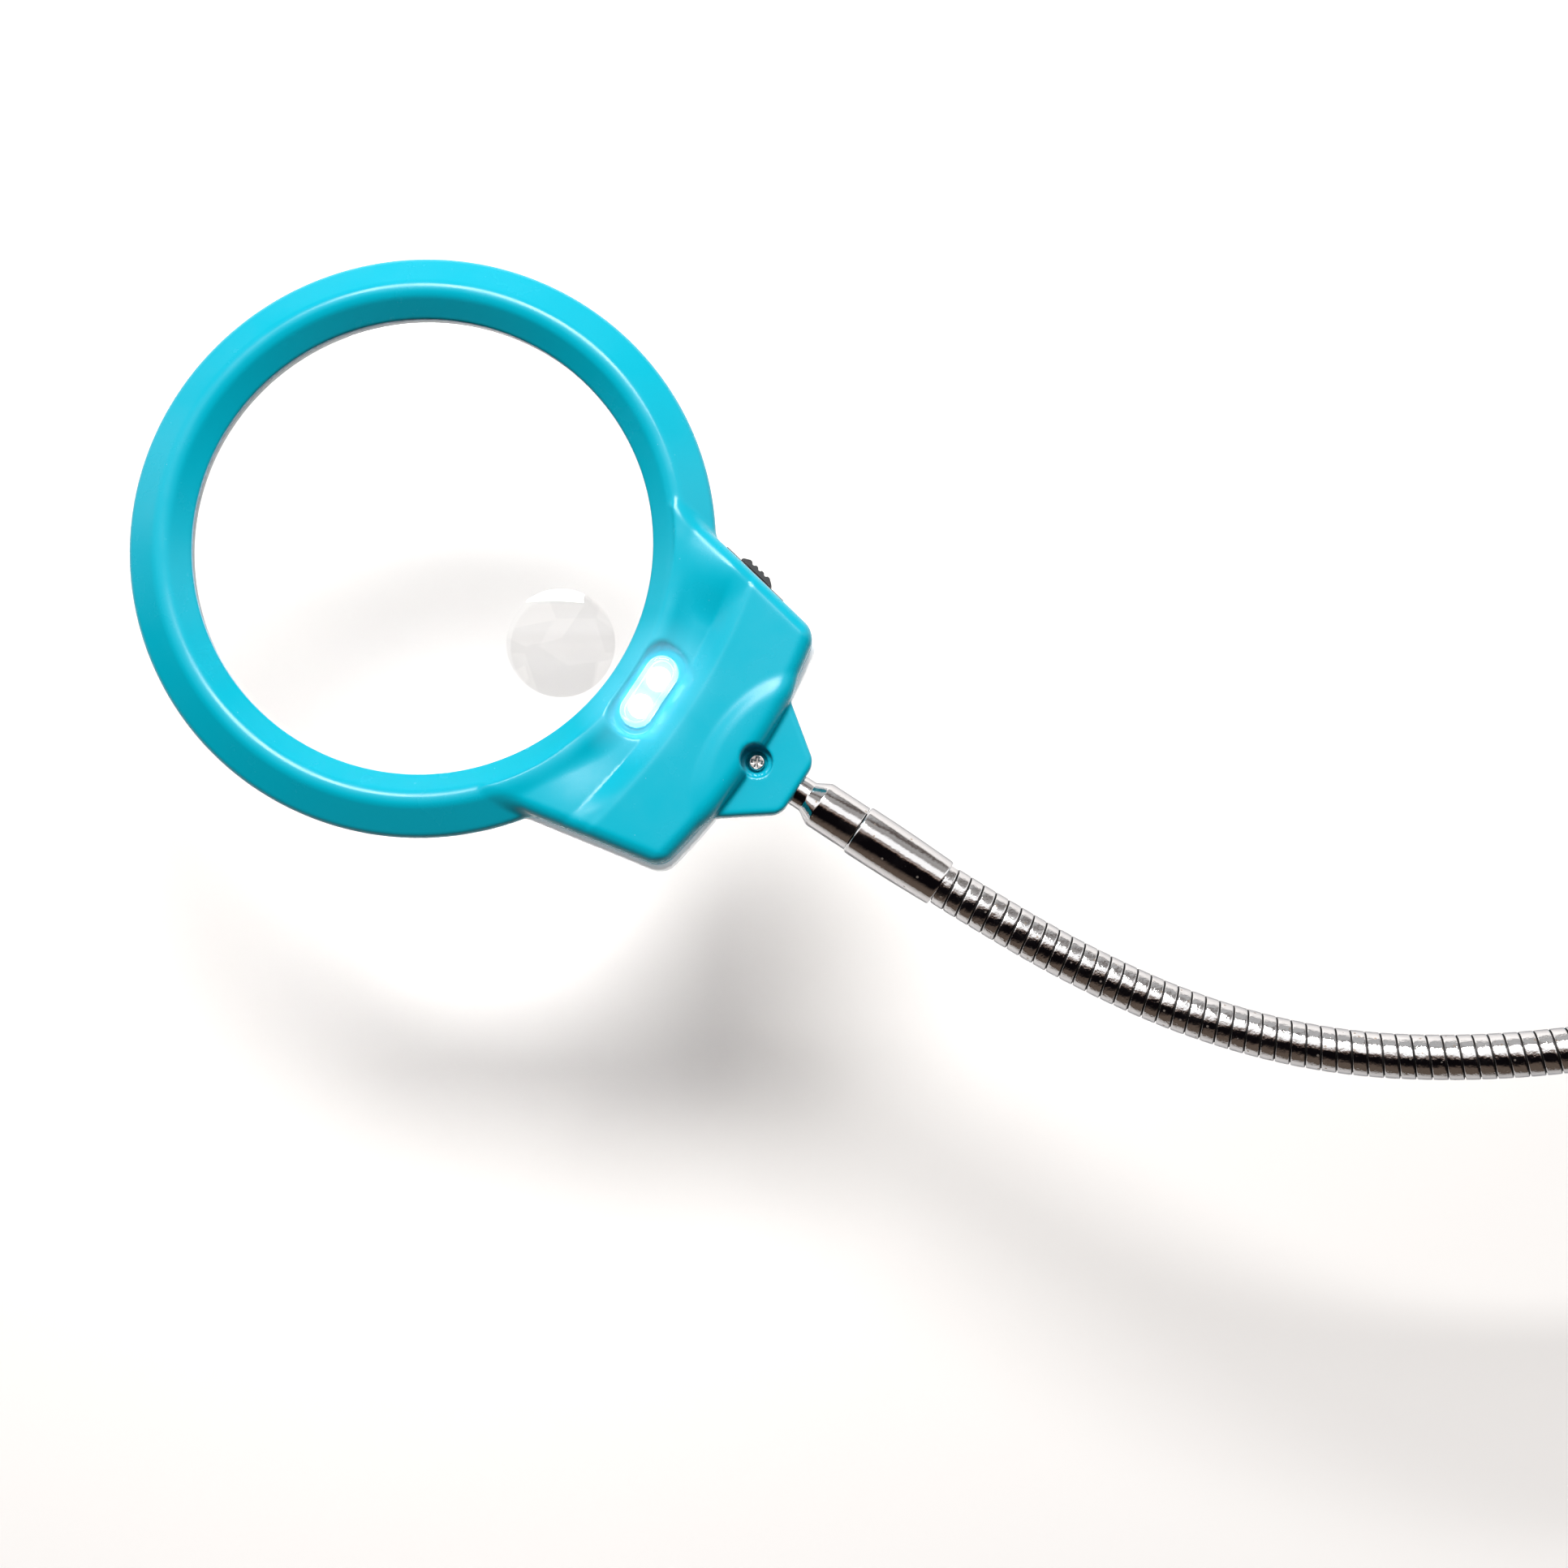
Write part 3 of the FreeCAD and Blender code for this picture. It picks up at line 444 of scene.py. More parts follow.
def switch_slot_field(x, y, z):
    """Slot through the side wall for the slide switch."""
    middle, along, outward = side_frame()
    run = (x - middle[0]) * along[0] + (y - middle[1]) * along[1]
    depth = (x - middle[0]) * outward[0] + (y - middle[1]) * outward[1]
    half_length, reach, half_height = SWITCH_SLOT
    return hard_and(np.abs(run) - half_length, -reach - depth, np.abs(z - SWITCH_SLOT_Z) - half_height)


def battery_slot_field(x, y, z):
    """Opening for the sliding battery cover, with the groove its rails run in."""
    groove_half = 0.45
    slot = hard_and(np.abs(x) - COVER_HALF_WIDTH, y - COVER_TOP_Y, z - COVER_FACE_Z)
    rail = np.abs(x) - COVER_HALF_WIDTH - COVER_RAIL
    groove = hard_and(rail, y - COVER_TOP_Y, np.abs(z - COVER_RAIL_Z) - groove_half)
    return np.minimum(slot, groove)


def back_field(p):
    """Back cover: ring, pan and tab in one skin, less its hollow, seats and holes."""
    shift_x, shift_y, grow = 0.35, 0.3, 0.2
    ring_round, aperture_round = 1.3, 0.4
    pan_round, pan_inner_round = 2.2, 1.0
    ring_fillet, tab_fillet = 1.2, 0.6
    tab_shrink = -0.3
    x, y, z = p
    r = np.hypot(x, y)
    ring = soft_and(r - BACK_RING_R, BACK_RING_Z - z, ring_round)
    ring = soft_and(ring, BACK_APERTURE_R - r, aperture_round)
    pan = soft_and(outline_field(x + shift_x, y + shift_y, BACK_LIP + grow), BACK_Z - z, pan_round)
    pan = hard_and(soft_and(pan, BACK_INNER_R - r, pan_inner_round), y - HOUSING_START_Y)
    core = soft_or(ring, pan, ring_fillet)
    tab = tab_field(x, y, z, tab_shrink, -TAB_Z - z)
    hollow = hard_and(np.minimum(ring, pan) + BACK_WALL, LENS_R + WALL - r, BACK_HOLLOW_Y - y)
    whole = hard_and(soft_or(core, tab, tab_fillet), -hollow, z)
    lens_seat = hard_and(r - LENS_R - LENS_GAP, LENS_RIM_LOW - LENS_SEAT_GAP - z)
    screw_wells = hard_and(
        np.hypot(np.abs(x) - BACK_SCREW[0], y - BACK_SCREW[1]) - BACK_SCREW_R, z - BACK_SCREW_Z
    )
    holes = (
        lens_seat, battery_slot_field(x, y, z), switch_slot_field(x, y, z),
        stem_bore_field(x, y, z), screw_wells,
    )
    return hard_and(whole, *(-hole for hole in holes))


def window_field(p):
    """Clear oval cap over the LEDs, open at its foot."""
    top_round = 0.9
    x, y, z = p
    plan = stadium_field(x, y, WINDOW_HALF, WINDOW_R)
    solid = soft_and(plan, z - WINDOW_Z, top_round)
    hollow = hard_and(plan + WINDOW_WALL, z - WINDOW_Z + WINDOW_WALL)
    return hard_and(solid, WINDOW_FOOT_Z - z, -hollow)


CORNERS = [(i, j, k) for i in (0, 1) for j in (0, 1) for k in (0, 1)]
CELL_EDGES = [(a, b) for a in range(8) for b in range(a + 1, 8)
              if sum(abs(m - n) for m, n in zip(CORNERS[a], CORNERS[b])) == 1]


def net_surface(field, low, high, step):
    """Quad mesh of a field's zero surface: one point per crossed cell, then pulled onto the surface."""
    axes = [np.arange(a, b + step, step) for a, b in zip(low, high)]
    values = field(np.meshgrid(*axes, indexing="ij"))
    shape = values.shape
    corner_values = np.stack([
        values[i:shape[0] - 1 + i, j:shape[1] - 1 + j, k:shape[2] - 1 + k] for i, j, k in CORNERS
    ])
    inside = corner_values < 0
    crossed = inside.any(0) & ~inside.all(0)
    cell_ids = np.full(crossed.shape, -1)
    cell_ids[crossed] = np.arange(crossed.sum())
    picked = corner_values[:, crossed]
    total = np.zeros((picked.shape[1], 3))
    count = np.zeros(picked.shape[1])
    for a, b in CELL_EDGES:
        cut = (picked[a] < 0) != (picked[b] < 0)
        t = np.where(cut, picked[a] / np.where(cut, picked[a] - picked[b], 1), 0)
        ends = np.array(CORNERS[a], float), np.array(CORNERS[b], float)
        total += np.where(cut, 1, 0)[:, None] * (ends[0] + t[:, None] * (ends[1] - ends[0]))
        count += cut
    points = np.array(low) + (np.argwhere(crossed) + total / count[:, None]) * step
    faces = []
    for axis in range(3):
        other = [k for k in range(3) if k != axis]
        near = [slice(None)] * 3
        far = [slice(None)] * 3
        near[axis] = slice(0, shape[axis] - 1)
        far[axis] = slice(1, shape[axis])
        for k in other:
            near[k] = slice(1, shape[k] - 1)
            far[k] = slice(1, shape[k] - 1)
        first = values[tuple(near)] < 0
        flips = np.argwhere(first != (values[tuple(far)] < 0))
        flips[:, other[0]] += 1
        flips[:, other[1]] += 1
        around = []
        for da, db in ((1, 1), (0, 1), (0, 0), (1, 0)):
            cell = flips.copy()
            cell[:, other[0]] -= da
            cell[:, other[1]] -= db
            around.append(cell_ids[tuple(cell.T)])
        faces.append(np.stack(around, 1))
    return pull_onto(field, points), np.concatenate(faces)


def pull_onto(field, points, rounds=3, probe=0.02):
    """Moves points along the field's gradient until they lie on its zero surface."""
    for _ in range(rounds):
        value = field(points.T)
        slope = np.empty_like(points)
        for axis in range(3):
            ahead = points.copy()
            ahead[:, axis] += probe
            slope[:, axis] = (field(ahead.T) - value) / probe
        length = np.maximum((slope ** 2).sum(1), 0.25)
        move = -slope * (value / length)[:, None]
        size = np.linalg.norm(move, axis=1, keepdims=True)
        points = points + move * np.minimum(1, 0.3 / np.maximum(size, 1e-9))
    return points


# ---- materials ----
class Shader:
    """Node tree of one material, with short calls for what the materials here are made of."""

    def __init__(self, name):
        self.material = bpy.data.materials.new(name)
        self.material.use_nodes = True
        self.tree = self.material.node_tree
        self.main = self.tree.nodes["Principled BSDF"]
        self.place = self.tree.nodes.new("ShaderNodeTexCoord").outputs["Object"]

    def node(self, kind, **inputs):
        """New node with its inputs linked to a socket or set to a value."""
        made = self.tree.nodes.new(kind)
        for key, value in inputs.items():
            socket = made.inputs[key.replace("_", " ")]
            if isinstance(value, bpy.types.NodeSocket):
                self.tree.links.new(value, socket)
            else:
                socket.default_value = value
        return made

    def set(self, name, value):
        """Links or sets one input of the main shader."""
        socket = self.main.inputs[name]
        if isinstance(value, bpy.types.NodeSocket):
            self.tree.links.new(value, socket)
        else:
            socket.default_value = value

    def noise(self, scale, detail=3.0, roughness=0.55):
        """Soft noise from 0 to 1, scale being its features per metre."""
        made = self.node(
            "ShaderNodeTexNoise", Vector=self.place, Scale=scale, Detail=detail, Roughness=roughness
        )
        return made.outputs["Fac"]

    def distance(self, point):
        """Distance from a point in metres."""
        made = self.tree.nodes.new("ShaderNodeVectorMath")
        made.operation = "DISTANCE"
        self.tree.links.new(self.place, made.inputs[0])
        made.inputs[1].default_value = point
        return made.outputs["Value"]

    def lens_radius(self):
        """Distance from the lens's axis."""
        away = self.tree.nodes.new("ShaderNodeVectorMath")
        away.operation = "SUBTRACT"
        self.tree.links.new(self.place, away.inputs[0])
        away.inputs[1].default_value = HEAD.translation
        cross = self.tree.nodes.new("ShaderNodeVectorMath")
        cross.operation = "CROSS_PRODUCT"
        self.tree.links.new(away.outputs["Vector"], cross.inputs[0])
        cross.inputs[1].default_value = HEAD.col[2].xyz
        length = self.tree.nodes.new("ShaderNodeVectorMath")
        length.operation = "LENGTH"
        self.tree.links.new(cross.outputs["Vector"], length.inputs[0])
        return length.outputs["Value"]

    def led_distance(self):
        """Distance from the nearer LED."""
        least = self.tree.nodes.new("ShaderNodeMath")
        least.operation = "MINIMUM"
        for socket, side in zip(least.inputs, (-1, 1)):
            centre = HEAD @ (Vector((side * LED_PITCH / 2, LED_Y, LED_SEAT_Z + LED_R)) * MM)
            self.tree.links.new(self.distance(centre), socket)
        return least.outputs["Value"]

    def spots(self, scale, size):
        """1 inside small scattered spots, 0 elsewhere."""
        cells = self.node("ShaderNodeTexVoronoi", Vector=self.place, Scale=scale)
        return self.ramp(cells.outputs["Distance"], size * 0.7, size, 1.0, 0.0)

    def ramp(self, value, low, high, at_low, at_high):
        """Smooth change from at_low where value is low to at_high where it is high."""
        made = self.tree.nodes.new("ShaderNodeMapRange")
        made.interpolation_type = "SMOOTHSTEP"
        self.tree.links.new(value, made.inputs["Value"])
        made.inputs["From Min"].default_value = low
        made.inputs["From Max"].default_value = high
        made.inputs["To Min"].default_value = at_low
        made.inputs["To Max"].default_value = at_high
        return made.outputs["Result"]

    def mix(self, factor, a, b):
        """Colour between a and b, each a socket or a colour."""
        made = self.tree.nodes.new("ShaderNodeMix")
        made.data_type = "RGBA"
        self.tree.links.new(factor, made.inputs["Factor"])
        for socket, value in ((made.inputs["A"], a), (made.inputs["B"], b)):
            if isinstance(value, bpy.types.NodeSocket):
                self.tree.links.new(value, socket)
            else:
                socket.default_value = (*value, 1)
        return made.outputs["Result"]

    def bump(self, height, strength, distance):
        """Relief of the given depth in metres."""
        made = self.node("ShaderNodeBump", Height=height, Strength=strength, Distance=distance)
        self.set("Normal", made.outputs["Normal"])


# Distances in metres from the nearer LED between which each glow fades.
SPILL_FADE = (0.005, 0.016)
EPOXY_FADE = (0.0012, 0.0034)
WINDOW_FADE = (0.0015, 0.0062)
SPILL_STRENGTH = 0.20
EPOXY_STRENGTH = 6.0
WINDOW_STRENGTH = 0.36


def moulded_plastic(
    name, colour, shade, roughness, grain=0.00003, dust=0.0, painted_bore_shading=None, spill=None, glow=0.0
):
    """Moulded plastic: slight colour drift, fine moulded grain, a few specks of dust.

    The colour given for the wall of the opening round the lens, with that wall's radius in millimetres,
    is painted shading: painted shade on the white shell, a painted highlight on the turquoise edge.
    spill is the LEDs' light painted as a glow on the face, and glow the strength of a painted glow over
    the whole white shell, which lightens it as light through its thin walls would.
    """
    s = Shader(name)
    base = s.mix(s.noise(35, 4), colour, shade)
    if painted_bore_shading:
        # Painted shading on the opening's wall: dark as painted shade, pale as a painted highlight.
        bore_shading_colour, radius = painted_bore_shading
        edge = 0.03
        bore_shading_mask = s.ramp(s.lens_radius(), (radius - edge) * MM, (radius + edge) * MM, 1.0, 0.0)
        base = s.mix(bore_shading_mask, base, bore_shading_colour)
    # Painted glow over the whole white shell, standing in for light through its thin walls.
    if glow:
        s.set("Emission Color", s.mix(s.noise(60, 3), (0.9, 0.94, 0.96), (0.8, 0.86, 0.9)))
        s.set("Emission Strength", glow)
    # Painted glow of the LEDs' light on the face near them, filling the recess's shade.
    if spill:
        s.set("Emission Color", s.mix(s.noise(60, 3), spill, tuple(c * 0.9 for c in spill)))
        s.set("Emission Strength", s.ramp(s.led_distance(), *SPILL_FADE, SPILL_STRENGTH, 0.0))
    if dust:
        base = s.mix(s.spots(230, dust), base, (0.20, 0.55, 0.66))
    s.set("Base Color", base)
    s.set("Roughness", s.ramp(s.noise(90, 5), 0.3, 0.7, roughness - 0.05, roughness + 0.06))
    s.set("IOR", 1.5)
    s.set("Specular IOR Level", 0.25)
    s.bump(s.noise(2600, 3), 0.25, grain)
    return s.material


def chrome_plate(name, tint=(0.70, 0.69, 0.69), roughness=0.05, wave=0.00012, wave_scale=360):
    """Bright plate with hairline scratches, dull specks and waviness of the given depth in metres."""
    s = Shader(name)
    specks = s.spots(420, 0.14)
    s.set("Metallic", s.ramp(specks, 0.0, 1.0, 1.0, 0.72))
    s.set("Specular Tint", (0.42, 0.44, 0.47, 1))
    s.set("Base Color", s.mix(specks, tint, (0.42, 0.36, 0.31)))
    s.set("Roughness", s.ramp(s.noise(160, 6, 0.7), 0.35, 0.75, roughness, roughness + 0.10))
    s.bump(s.noise(wave_scale, 4, 0.6), 0.5, wave)
    return s.material


def lens_plastic(name):
    """Clear lens whose spot lens is tinted grey in patches as painted shade; its shadow is a bright disc
    with a dark rim.
    """
    spot_height = 2.0
    spot_edge = (0.0121, 0.0125)
    bright_shift = Vector((0, 0.012, 0))
    bright_edge = (0.043, 0.056)
    s = Shader(name)
    spot_centre = HEAD @ (Vector((*SPOT, spot_height)) * MM)
    in_spot = s.ramp(s.distance(spot_centre), *spot_edge, 1.0, 0.0)
    facets = s.node("ShaderNodeTexVoronoi", Vector=s.place, Scale=95.0)
    facet = s.ramp(facets.outputs["Color"], 0.35, 0.6, 0.0, 1.0)
    # The spot lens's grey, patchy tint is painted shade.
    spot_shade_tint = s.mix(facet, (0.73, 0.735, 0.74), (0.80, 0.80, 0.80))
    clear_colour = s.mix(s.noise(60, 3), (0.90, 0.905, 0.91), (0.89, 0.895, 0.90))
    s.set("Base Color", s.mix(in_spot, clear_colour, spot_shade_tint))
    s.set("Transmission Weight", 1.0)
    s.set("Roughness", s.ramp(s.noise(140, 4), 0.3, 0.8, 0.004, 0.015))
    s.set("IOR", 1.49)
    path = s.tree.nodes.new("ShaderNodeLightPath")
    clear = s.tree.nodes.new("ShaderNodeBsdfTransparent")
    passed = s.ramp(s.distance(HEAD.translation + bright_shift), *bright_edge, 0.98, 0.25)
    s.tree.links.new(passed, clear.inputs["Color"])
    mixed = s.tree.nodes.new("ShaderNodeMixShader")
    s.tree.links.new(path.outputs["Is Shadow Ray"], mixed.inputs["Fac"])
    s.tree.links.new(s.main.outputs["BSDF"], mixed.inputs[1])
    s.tree.links.new(clear.outputs["BSDF"], mixed.inputs[2])
    s.tree.links.new(mixed.outputs["Shader"], s.tree.nodes["Material Output"].inputs["Surface"])
    return s.material


def lit_epoxy():
    """LED lens lit cool white from within."""
    s = Shader("led_epoxy")
    glow = s.ramp(s.led_distance(), *EPOXY_FADE, 1.0, 0.0)
    s.set("Base Color", s.mix(glow, (0.75, 0.92, 1.0), (1, 1, 1)))
    s.set("Roughness", 0.1)
    s.set("Emission Color", s.mix(glow, (0.45, 0.85, 1.0), (0.85, 0.97, 1.0)))
    s.set("Emission Strength", EPOXY_STRENGTH)
    return s.material


def glowing_window():
    """Clear window that carries the LEDs' light in its walls."""
    s = Shader("window_clear")
    glow = s.ramp(s.led_distance(), *WINDOW_FADE, 1.0, 0.0)
    s.set("Base Color", s.mix(s.noise(200, 3), (0.93, 0.98, 1.0), (0.86, 0.96, 1.0)))
    s.set("Transmission Weight", 0.85)
    s.set("Roughness", s.ramp(s.noise(500, 3), 0.3, 0.7, 0.05, 0.14))
    s.set("IOR", 1.46)
    s.set("Emission Color", s.mix(glow, (0.24, 0.70, 0.95), (0.78, 0.96, 1.0)))
    s.set("Emission Strength", WINDOW_STRENGTH)
    return s.material


def rubber(name, colour=(0.02, 0.02, 0.021)):
    """Matt rubber or soft wire jacket."""
    s = Shader(name)
    s.set("Base Color", s.mix(s.noise(80, 4), colour, tuple(c * 1.7 for c in colour)))
    s.set("Roughness", s.ramp(s.noise(300, 4), 0.3, 0.7, 0.62, 0.85))
    s.bump(s.noise(1500, 4), 0.4, 0.00006)
    return s.material


def plain_metal(name, colour, roughness):
    """Unplated metal with uneven sheen."""
    s = Shader(name)
    s.set("Metallic", 1.0)
    s.set("Base Color", s.mix(s.noise(260, 4), colour, tuple(c * 0.7 for c in colour)))
    s.set("Roughness", s.ramp(s.noise(420, 5), 0.3, 0.7, roughness - 0.08, roughness + 0.12))
    s.bump(s.noise(700, 4), 0.2, 0.00004)
    return s.material


# The pale colour on the aperture's wall is a painted highlight.
TURQUOISE = moulded_plastic(
    "turquoise_plastic", (0.001, 0.340, 0.455), (0.001, 0.358, 0.477), 0.23, dust=0.022,
    # The spill is painted LED light on the face.
    painted_bore_shading=((0.35, 0.62, 0.78), APERTURE_R + 0.08), spill=(0.42, 0.78, 0.95),
)
# The black on the lens bore is painted shade.
WHITE = moulded_plastic(
    "white_plastic", (0.82, 0.85, 0.87), (0.77, 0.80, 0.83), 0.32,
    # The glow is painted light over the whole shell.
    painted_bore_shading=((0.004, 0.004, 0.005), LENS_R), glow=0.29,
)
BLACK = moulded_plastic("black_plastic", (0.030, 0.031, 0.034), (0.018, 0.018, 0.020), 0.42, 0.00005)
LENS = lens_plastic("lens_acrylic")
WINDOW = glowing_window()
LED = lit_epoxy()
CHROME = chrome_plate("chrome")
WOUND_CHROME = chrome_plate("wound_chrome", roughness=0.06, wave=0.00042, wave_scale=430)
ZINC = chrome_plate("zinc_steel", (0.66, 0.65, 0.64), 0.22)
CONTACT = plain_metal("contact_metal", (0.72, 0.70, 0.66), 0.3)
IRON = plain_metal("cast_iron", (0.12, 0.12, 0.12), 0.6)
# Near-black metal for the strip's grooves: painted shade.
STRIP_GAP_SHADE = plain_metal("strip_gap_shade", (0.045, 0.042, 0.042), 0.5)
JACKET = moulded_plastic("cell_jacket", (0.03, 0.03, 0.035), (0.05, 0.05, 0.055), 0.3)
BOARD = moulded_plastic("board", (0.02, 0.18, 0.07), (0.03, 0.22, 0.09), 0.35)
COMPONENT = moulded_plastic("component_body", (0.55, 0.42, 0.25), (0.5, 0.38, 0.22), 0.45)
WIRE = rubber("wire_jacket", (0.45, 0.02, 0.02))
RUBBER = rubber("rubber")
SLOT_MATERIALS = {
    "turquoise_plastic": TURQUOISE, "white_plastic": WHITE, "black_plastic": BLACK,
    "lens_acrylic": LENS, "window_clear": WINDOW, "led_epoxy": LED, "chrome": CHROME,
    "zinc_steel": ZINC, "contact_metal": CONTACT, "cast_iron": IRON, "cell_jacket": JACKET,
    "board": BOARD, "component_body": COMPONENT, "wire_jacket": WIRE, "rubber": RUBBER,
}


def place_piece(piece, body, slot, *nodes):
    """Attaches a finished piece to its body and hides the CAD nodes it replaces; slot is not used."""
    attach(piece, body)
    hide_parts(*nodes)


# ---- head ----
FIELD_SMOOTH = 75
DOME_SMOOTH = 12


def build_front():
    """Turquoise front cover."""
    low = (-68.4, -103.6, -0.6)
    high = (68.4, 68.4, 11.2)
    points, faces = net_surface(front_field, low, high, FRONT_STEP)
    piece = make_mesh("front_shell", points, faces, HEAD_MM, TURQUOISE, FIELD_SMOOTH)
    place_piece(piece, "head", "turquoise_plastic", "front_cover")


def build_back():
    """White back cover."""
    low = (-68.0, -103.6, -10.2)
    high = (68.0, 68.0, 0.8)
    points, faces = net_surface(back_field, low, high, BACK_STEP)
    piece = make_mesh("back_shell", points, faces, HEAD_MM, WHITE, FIELD_SMOOTH)
    place_piece(piece, "head", "white_plastic", "back_cover")


def dome(radius, height, base, rings):
    """Profile points of a shallow spherical cap from its edge to its top."""
    sphere_r = (radius ** 2 + height ** 2) / (2 * height)
    spread = math.asin(radius / sphere_r)
    points = []
    for k in range(rings + 1):
        angle = spread * (1 - k / rings)
        rise = sphere_r * math.cos(angle) - (sphere_r - height)
        points.append((sphere_r * math.sin(angle), base + rise))
    return points


def build_spot(clear_r):
    """Cap of the small stronger lens, lying on the main lens's curved face."""
    depth = 1.5
    height = LENS_RIM_HIGH + LENS_SAG * (1 - (abs(SPOT[1]) / clear_r) ** 2)
    lean = math.atan(2 * LENS_SAG * abs(SPOT[1]) / clear_r ** 2)
    placed = HEAD_MM @ Matrix.Translation((*SPOT, height)) @ Matrix.Rotation(lean, 4, "X")
    cap = [(0, -depth), (SPOT_R, -depth)] + dome(SPOT_R, SPOT_HEIGHT, 0.0, 24)
    return lathe("spot_cap", cap, placed, LENS, 128, DOME_SMOOTH)


def build_lens():
    """Main lens with the spot lens moulded in it."""
    clear_r = APERTURE_R - 0.1
    front = dome(clear_r, LENS_SAG, LENS_RIM_HIGH, 40)
    back = [(r, LENS_RIM_LOW - (z - LENS_RIM_HIGH)) for r, z in reversed(front)]
    profile = back + [(LENS_R, LENS_RIM_LOW), (LENS_R, LENS_RIM_HIGH)] + front
    lens = lathe("lens", profile, HEAD_MM, LENS, 192, DOME_SMOOTH)
    spot = build_spot(clear_r)
    union = lens.modifiers.new("spot", "BOOLEAN")
    union.operation = "UNION"
    union.object = spot
    union.solver = "EXACT"
    bpy.context.view_layer.update()
    joined = bpy.data.meshes.new_from_object(lens.evaluated_get(bpy.context.evaluated_depsgraph_get()))
    lens.modifiers.clear()
    lens.data = joined
    bpy.data.objects.remove(spot)
    finish_mesh(joined, DOME_SMOOTH)
    place_piece(lens, "head", "lens_acrylic", "main_lens")


def build_window():
    """Clear oval window over the LEDs."""
    margin = 0.6
    reach = WINDOW_HALF + WINDOW_R + margin
    low = (-reach, LED_Y - WINDOW_R - margin, 2.0)
    high = (reach, LED_Y + WINDOW_R + margin, WINDOW_Z + margin)
    points, faces = net_surface(window_field, low, high, WINDOW_STEP)
    piece = make_mesh("led_window_shell", points, faces, HEAD_MM, WINDOW, FIELD_SMOOTH)
    place_piece(piece, "head", "window_clear", "led_window")


def screw_field(p):
    """Rounded screw head with a cross recess, turned as it was left when driven home."""
    head_round, cross_round = 0.45, 0.12
    flare, flare_z = 0.45, 2.6
    arm_half, arm_width, arm_taper = 1.0, 0.24, 0.4
    cross_floor_z = 2.5
    under_head_z = 2.03
    x, y, z = p
    turn = math.radians(SCREW_TURN)
    u = x * math.cos(turn) + (y - SCREW_Y) * math.sin(turn)
    v = (y - SCREW_Y) * math.cos(turn) - x * math.sin(turn)
    head = soft_and(np.hypot(u, v) - SCREW_HEAD_R, z - SCREW_HEAD_Z, head_round)
    sink = flare * np.maximum(z - flare_z, 0)
    one, other = (
        hard_and(np.abs(a) - arm_half - sink, np.abs(b) - arm_width - sink * arm_taper)
        for a, b in ((u, v), (v, u))
    )
    cross = hard_and(np.minimum(one, other), cross_floor_z - z)
    return hard_and(soft_and(head, -cross, cross_round), under_head_z - z)


def build_tab_screw():
    """Cross-head screw in the tab's counterbore."""
    reach = 2.3
    low = (-reach, SCREW_Y - reach, 1.7)
    high = (reach, SCREW_Y + reach, 3.7)
    points, faces = net_surface(screw_field, low, high, SCREW_STEP)
    piece = make_mesh("tab_screw_head", points, faces, HEAD_MM, ZINC, 60)
    place_piece(piece, "head", "zinc_steel", "tab_screw")


# ---- chrome neck parts ----
HEAD_Y = HEAD.to_3x3() @ Vector((0, 1, 0))


def down_the_neck(y):
    """Frame on the stem's axis, from the given y in the head frame away from the lens."""
    return about(HEAD @ (Vector((0, y, 0)) * MM), -HEAD_Y)


def build_stem():
    """Stem, cone, collar and the spigot that turns in the sleeve."""
    marks = (CONE_START_Y, COLLAR_Y, COLLAR_END_Y, SPIGOT_END_Y)
    cone, collar, collar_end, end = (STEM_TOP_Y - y for y in marks)
    profile = [
        (0, 0), (STEM_R, 0), (STEM_R, cone), (COLLAR_R, collar), (COLLAR_R, collar_end),
        (SPIGOT_R, collar_end), (SPIGOT_R, end), (0, end),
    ]
    piece = lathe("stem_collar", rounded(profile, 0.22), down_the_neck(STEM_TOP_Y), CHROME)
    place_piece(piece, "head", "chrome", "stem")


def build_sleeve():
    """Sleeve that narrows to the gooseneck, bored for the spigot and for the neck's first turns."""
    length = SLEEVE_Y - SLEEVE_END_Y
    swell = length * 0.25
    shoulder = length * 0.6
    profile = [
        (0, length - NECK_SOCKET), (NECK_R - 0.2, length - NECK_SOCKET), (NECK_R + 0.05, length),
        (SLEEVE_END_R - 0.15, length), (SLEEVE_END_R, length - 0.4), (SLEEVE_R - 0.12, shoulder),
        (SLEEVE_R, swell), (SLEEVE_R, 0.3), (SLEEVE_R - 0.3, 0), (SLEEVE_BORE_R, 0),
        (SLEEVE_BORE_R, SLEEVE_BORE), (0, SLEEVE_BORE),
    ]
    piece = lathe("sleeve", rounded(profile, 0.2), down_the_neck(SLEEVE_Y), CHROME)
    place_piece(piece, "neck_end", "chrome", "neck_sleeve")


def neck_curve():
    """The neck's hinges, their places, and the joins between their stretches, all in millimetres."""
    hinges = [joint for joint in RECORD["behaviour"]["joints"] if joint["name"].startswith("neck_")]
    places = [Vector(joint["pos_m"]) / MM for joint in hinges]
    first = places[0] - Vector((0, 0, NECK_FOOT_DROP))
    last = places[-1] + HEAD_Y * NECK_HEAD_REACH
    joins = [first] + [(a + b) / 2 for a, b in zip(places, places[1:])] + [last]
    return hinges, places, joins


def bezier(a, b, c, t):
    """Point at share t of the curve from a to c that leans towards b."""
    return a * (1 - t) ** 2 + b * 2 * t * (1 - t) + c * t * t


def neck_line(places, joins):
    """Points of the neck's centre line, and the number of the point at each join."""
    line = []
    marks = [0]
    for k, hinge in enumerate(places):
        for m in range(NECK_SAMPLES):
            line.append(bezier(joins[k], hinge, joins[k + 1], m / NECK_SAMPLES))
        marks.append(len(line))
    line.append(joins[-1])
    return np.array(line), marks


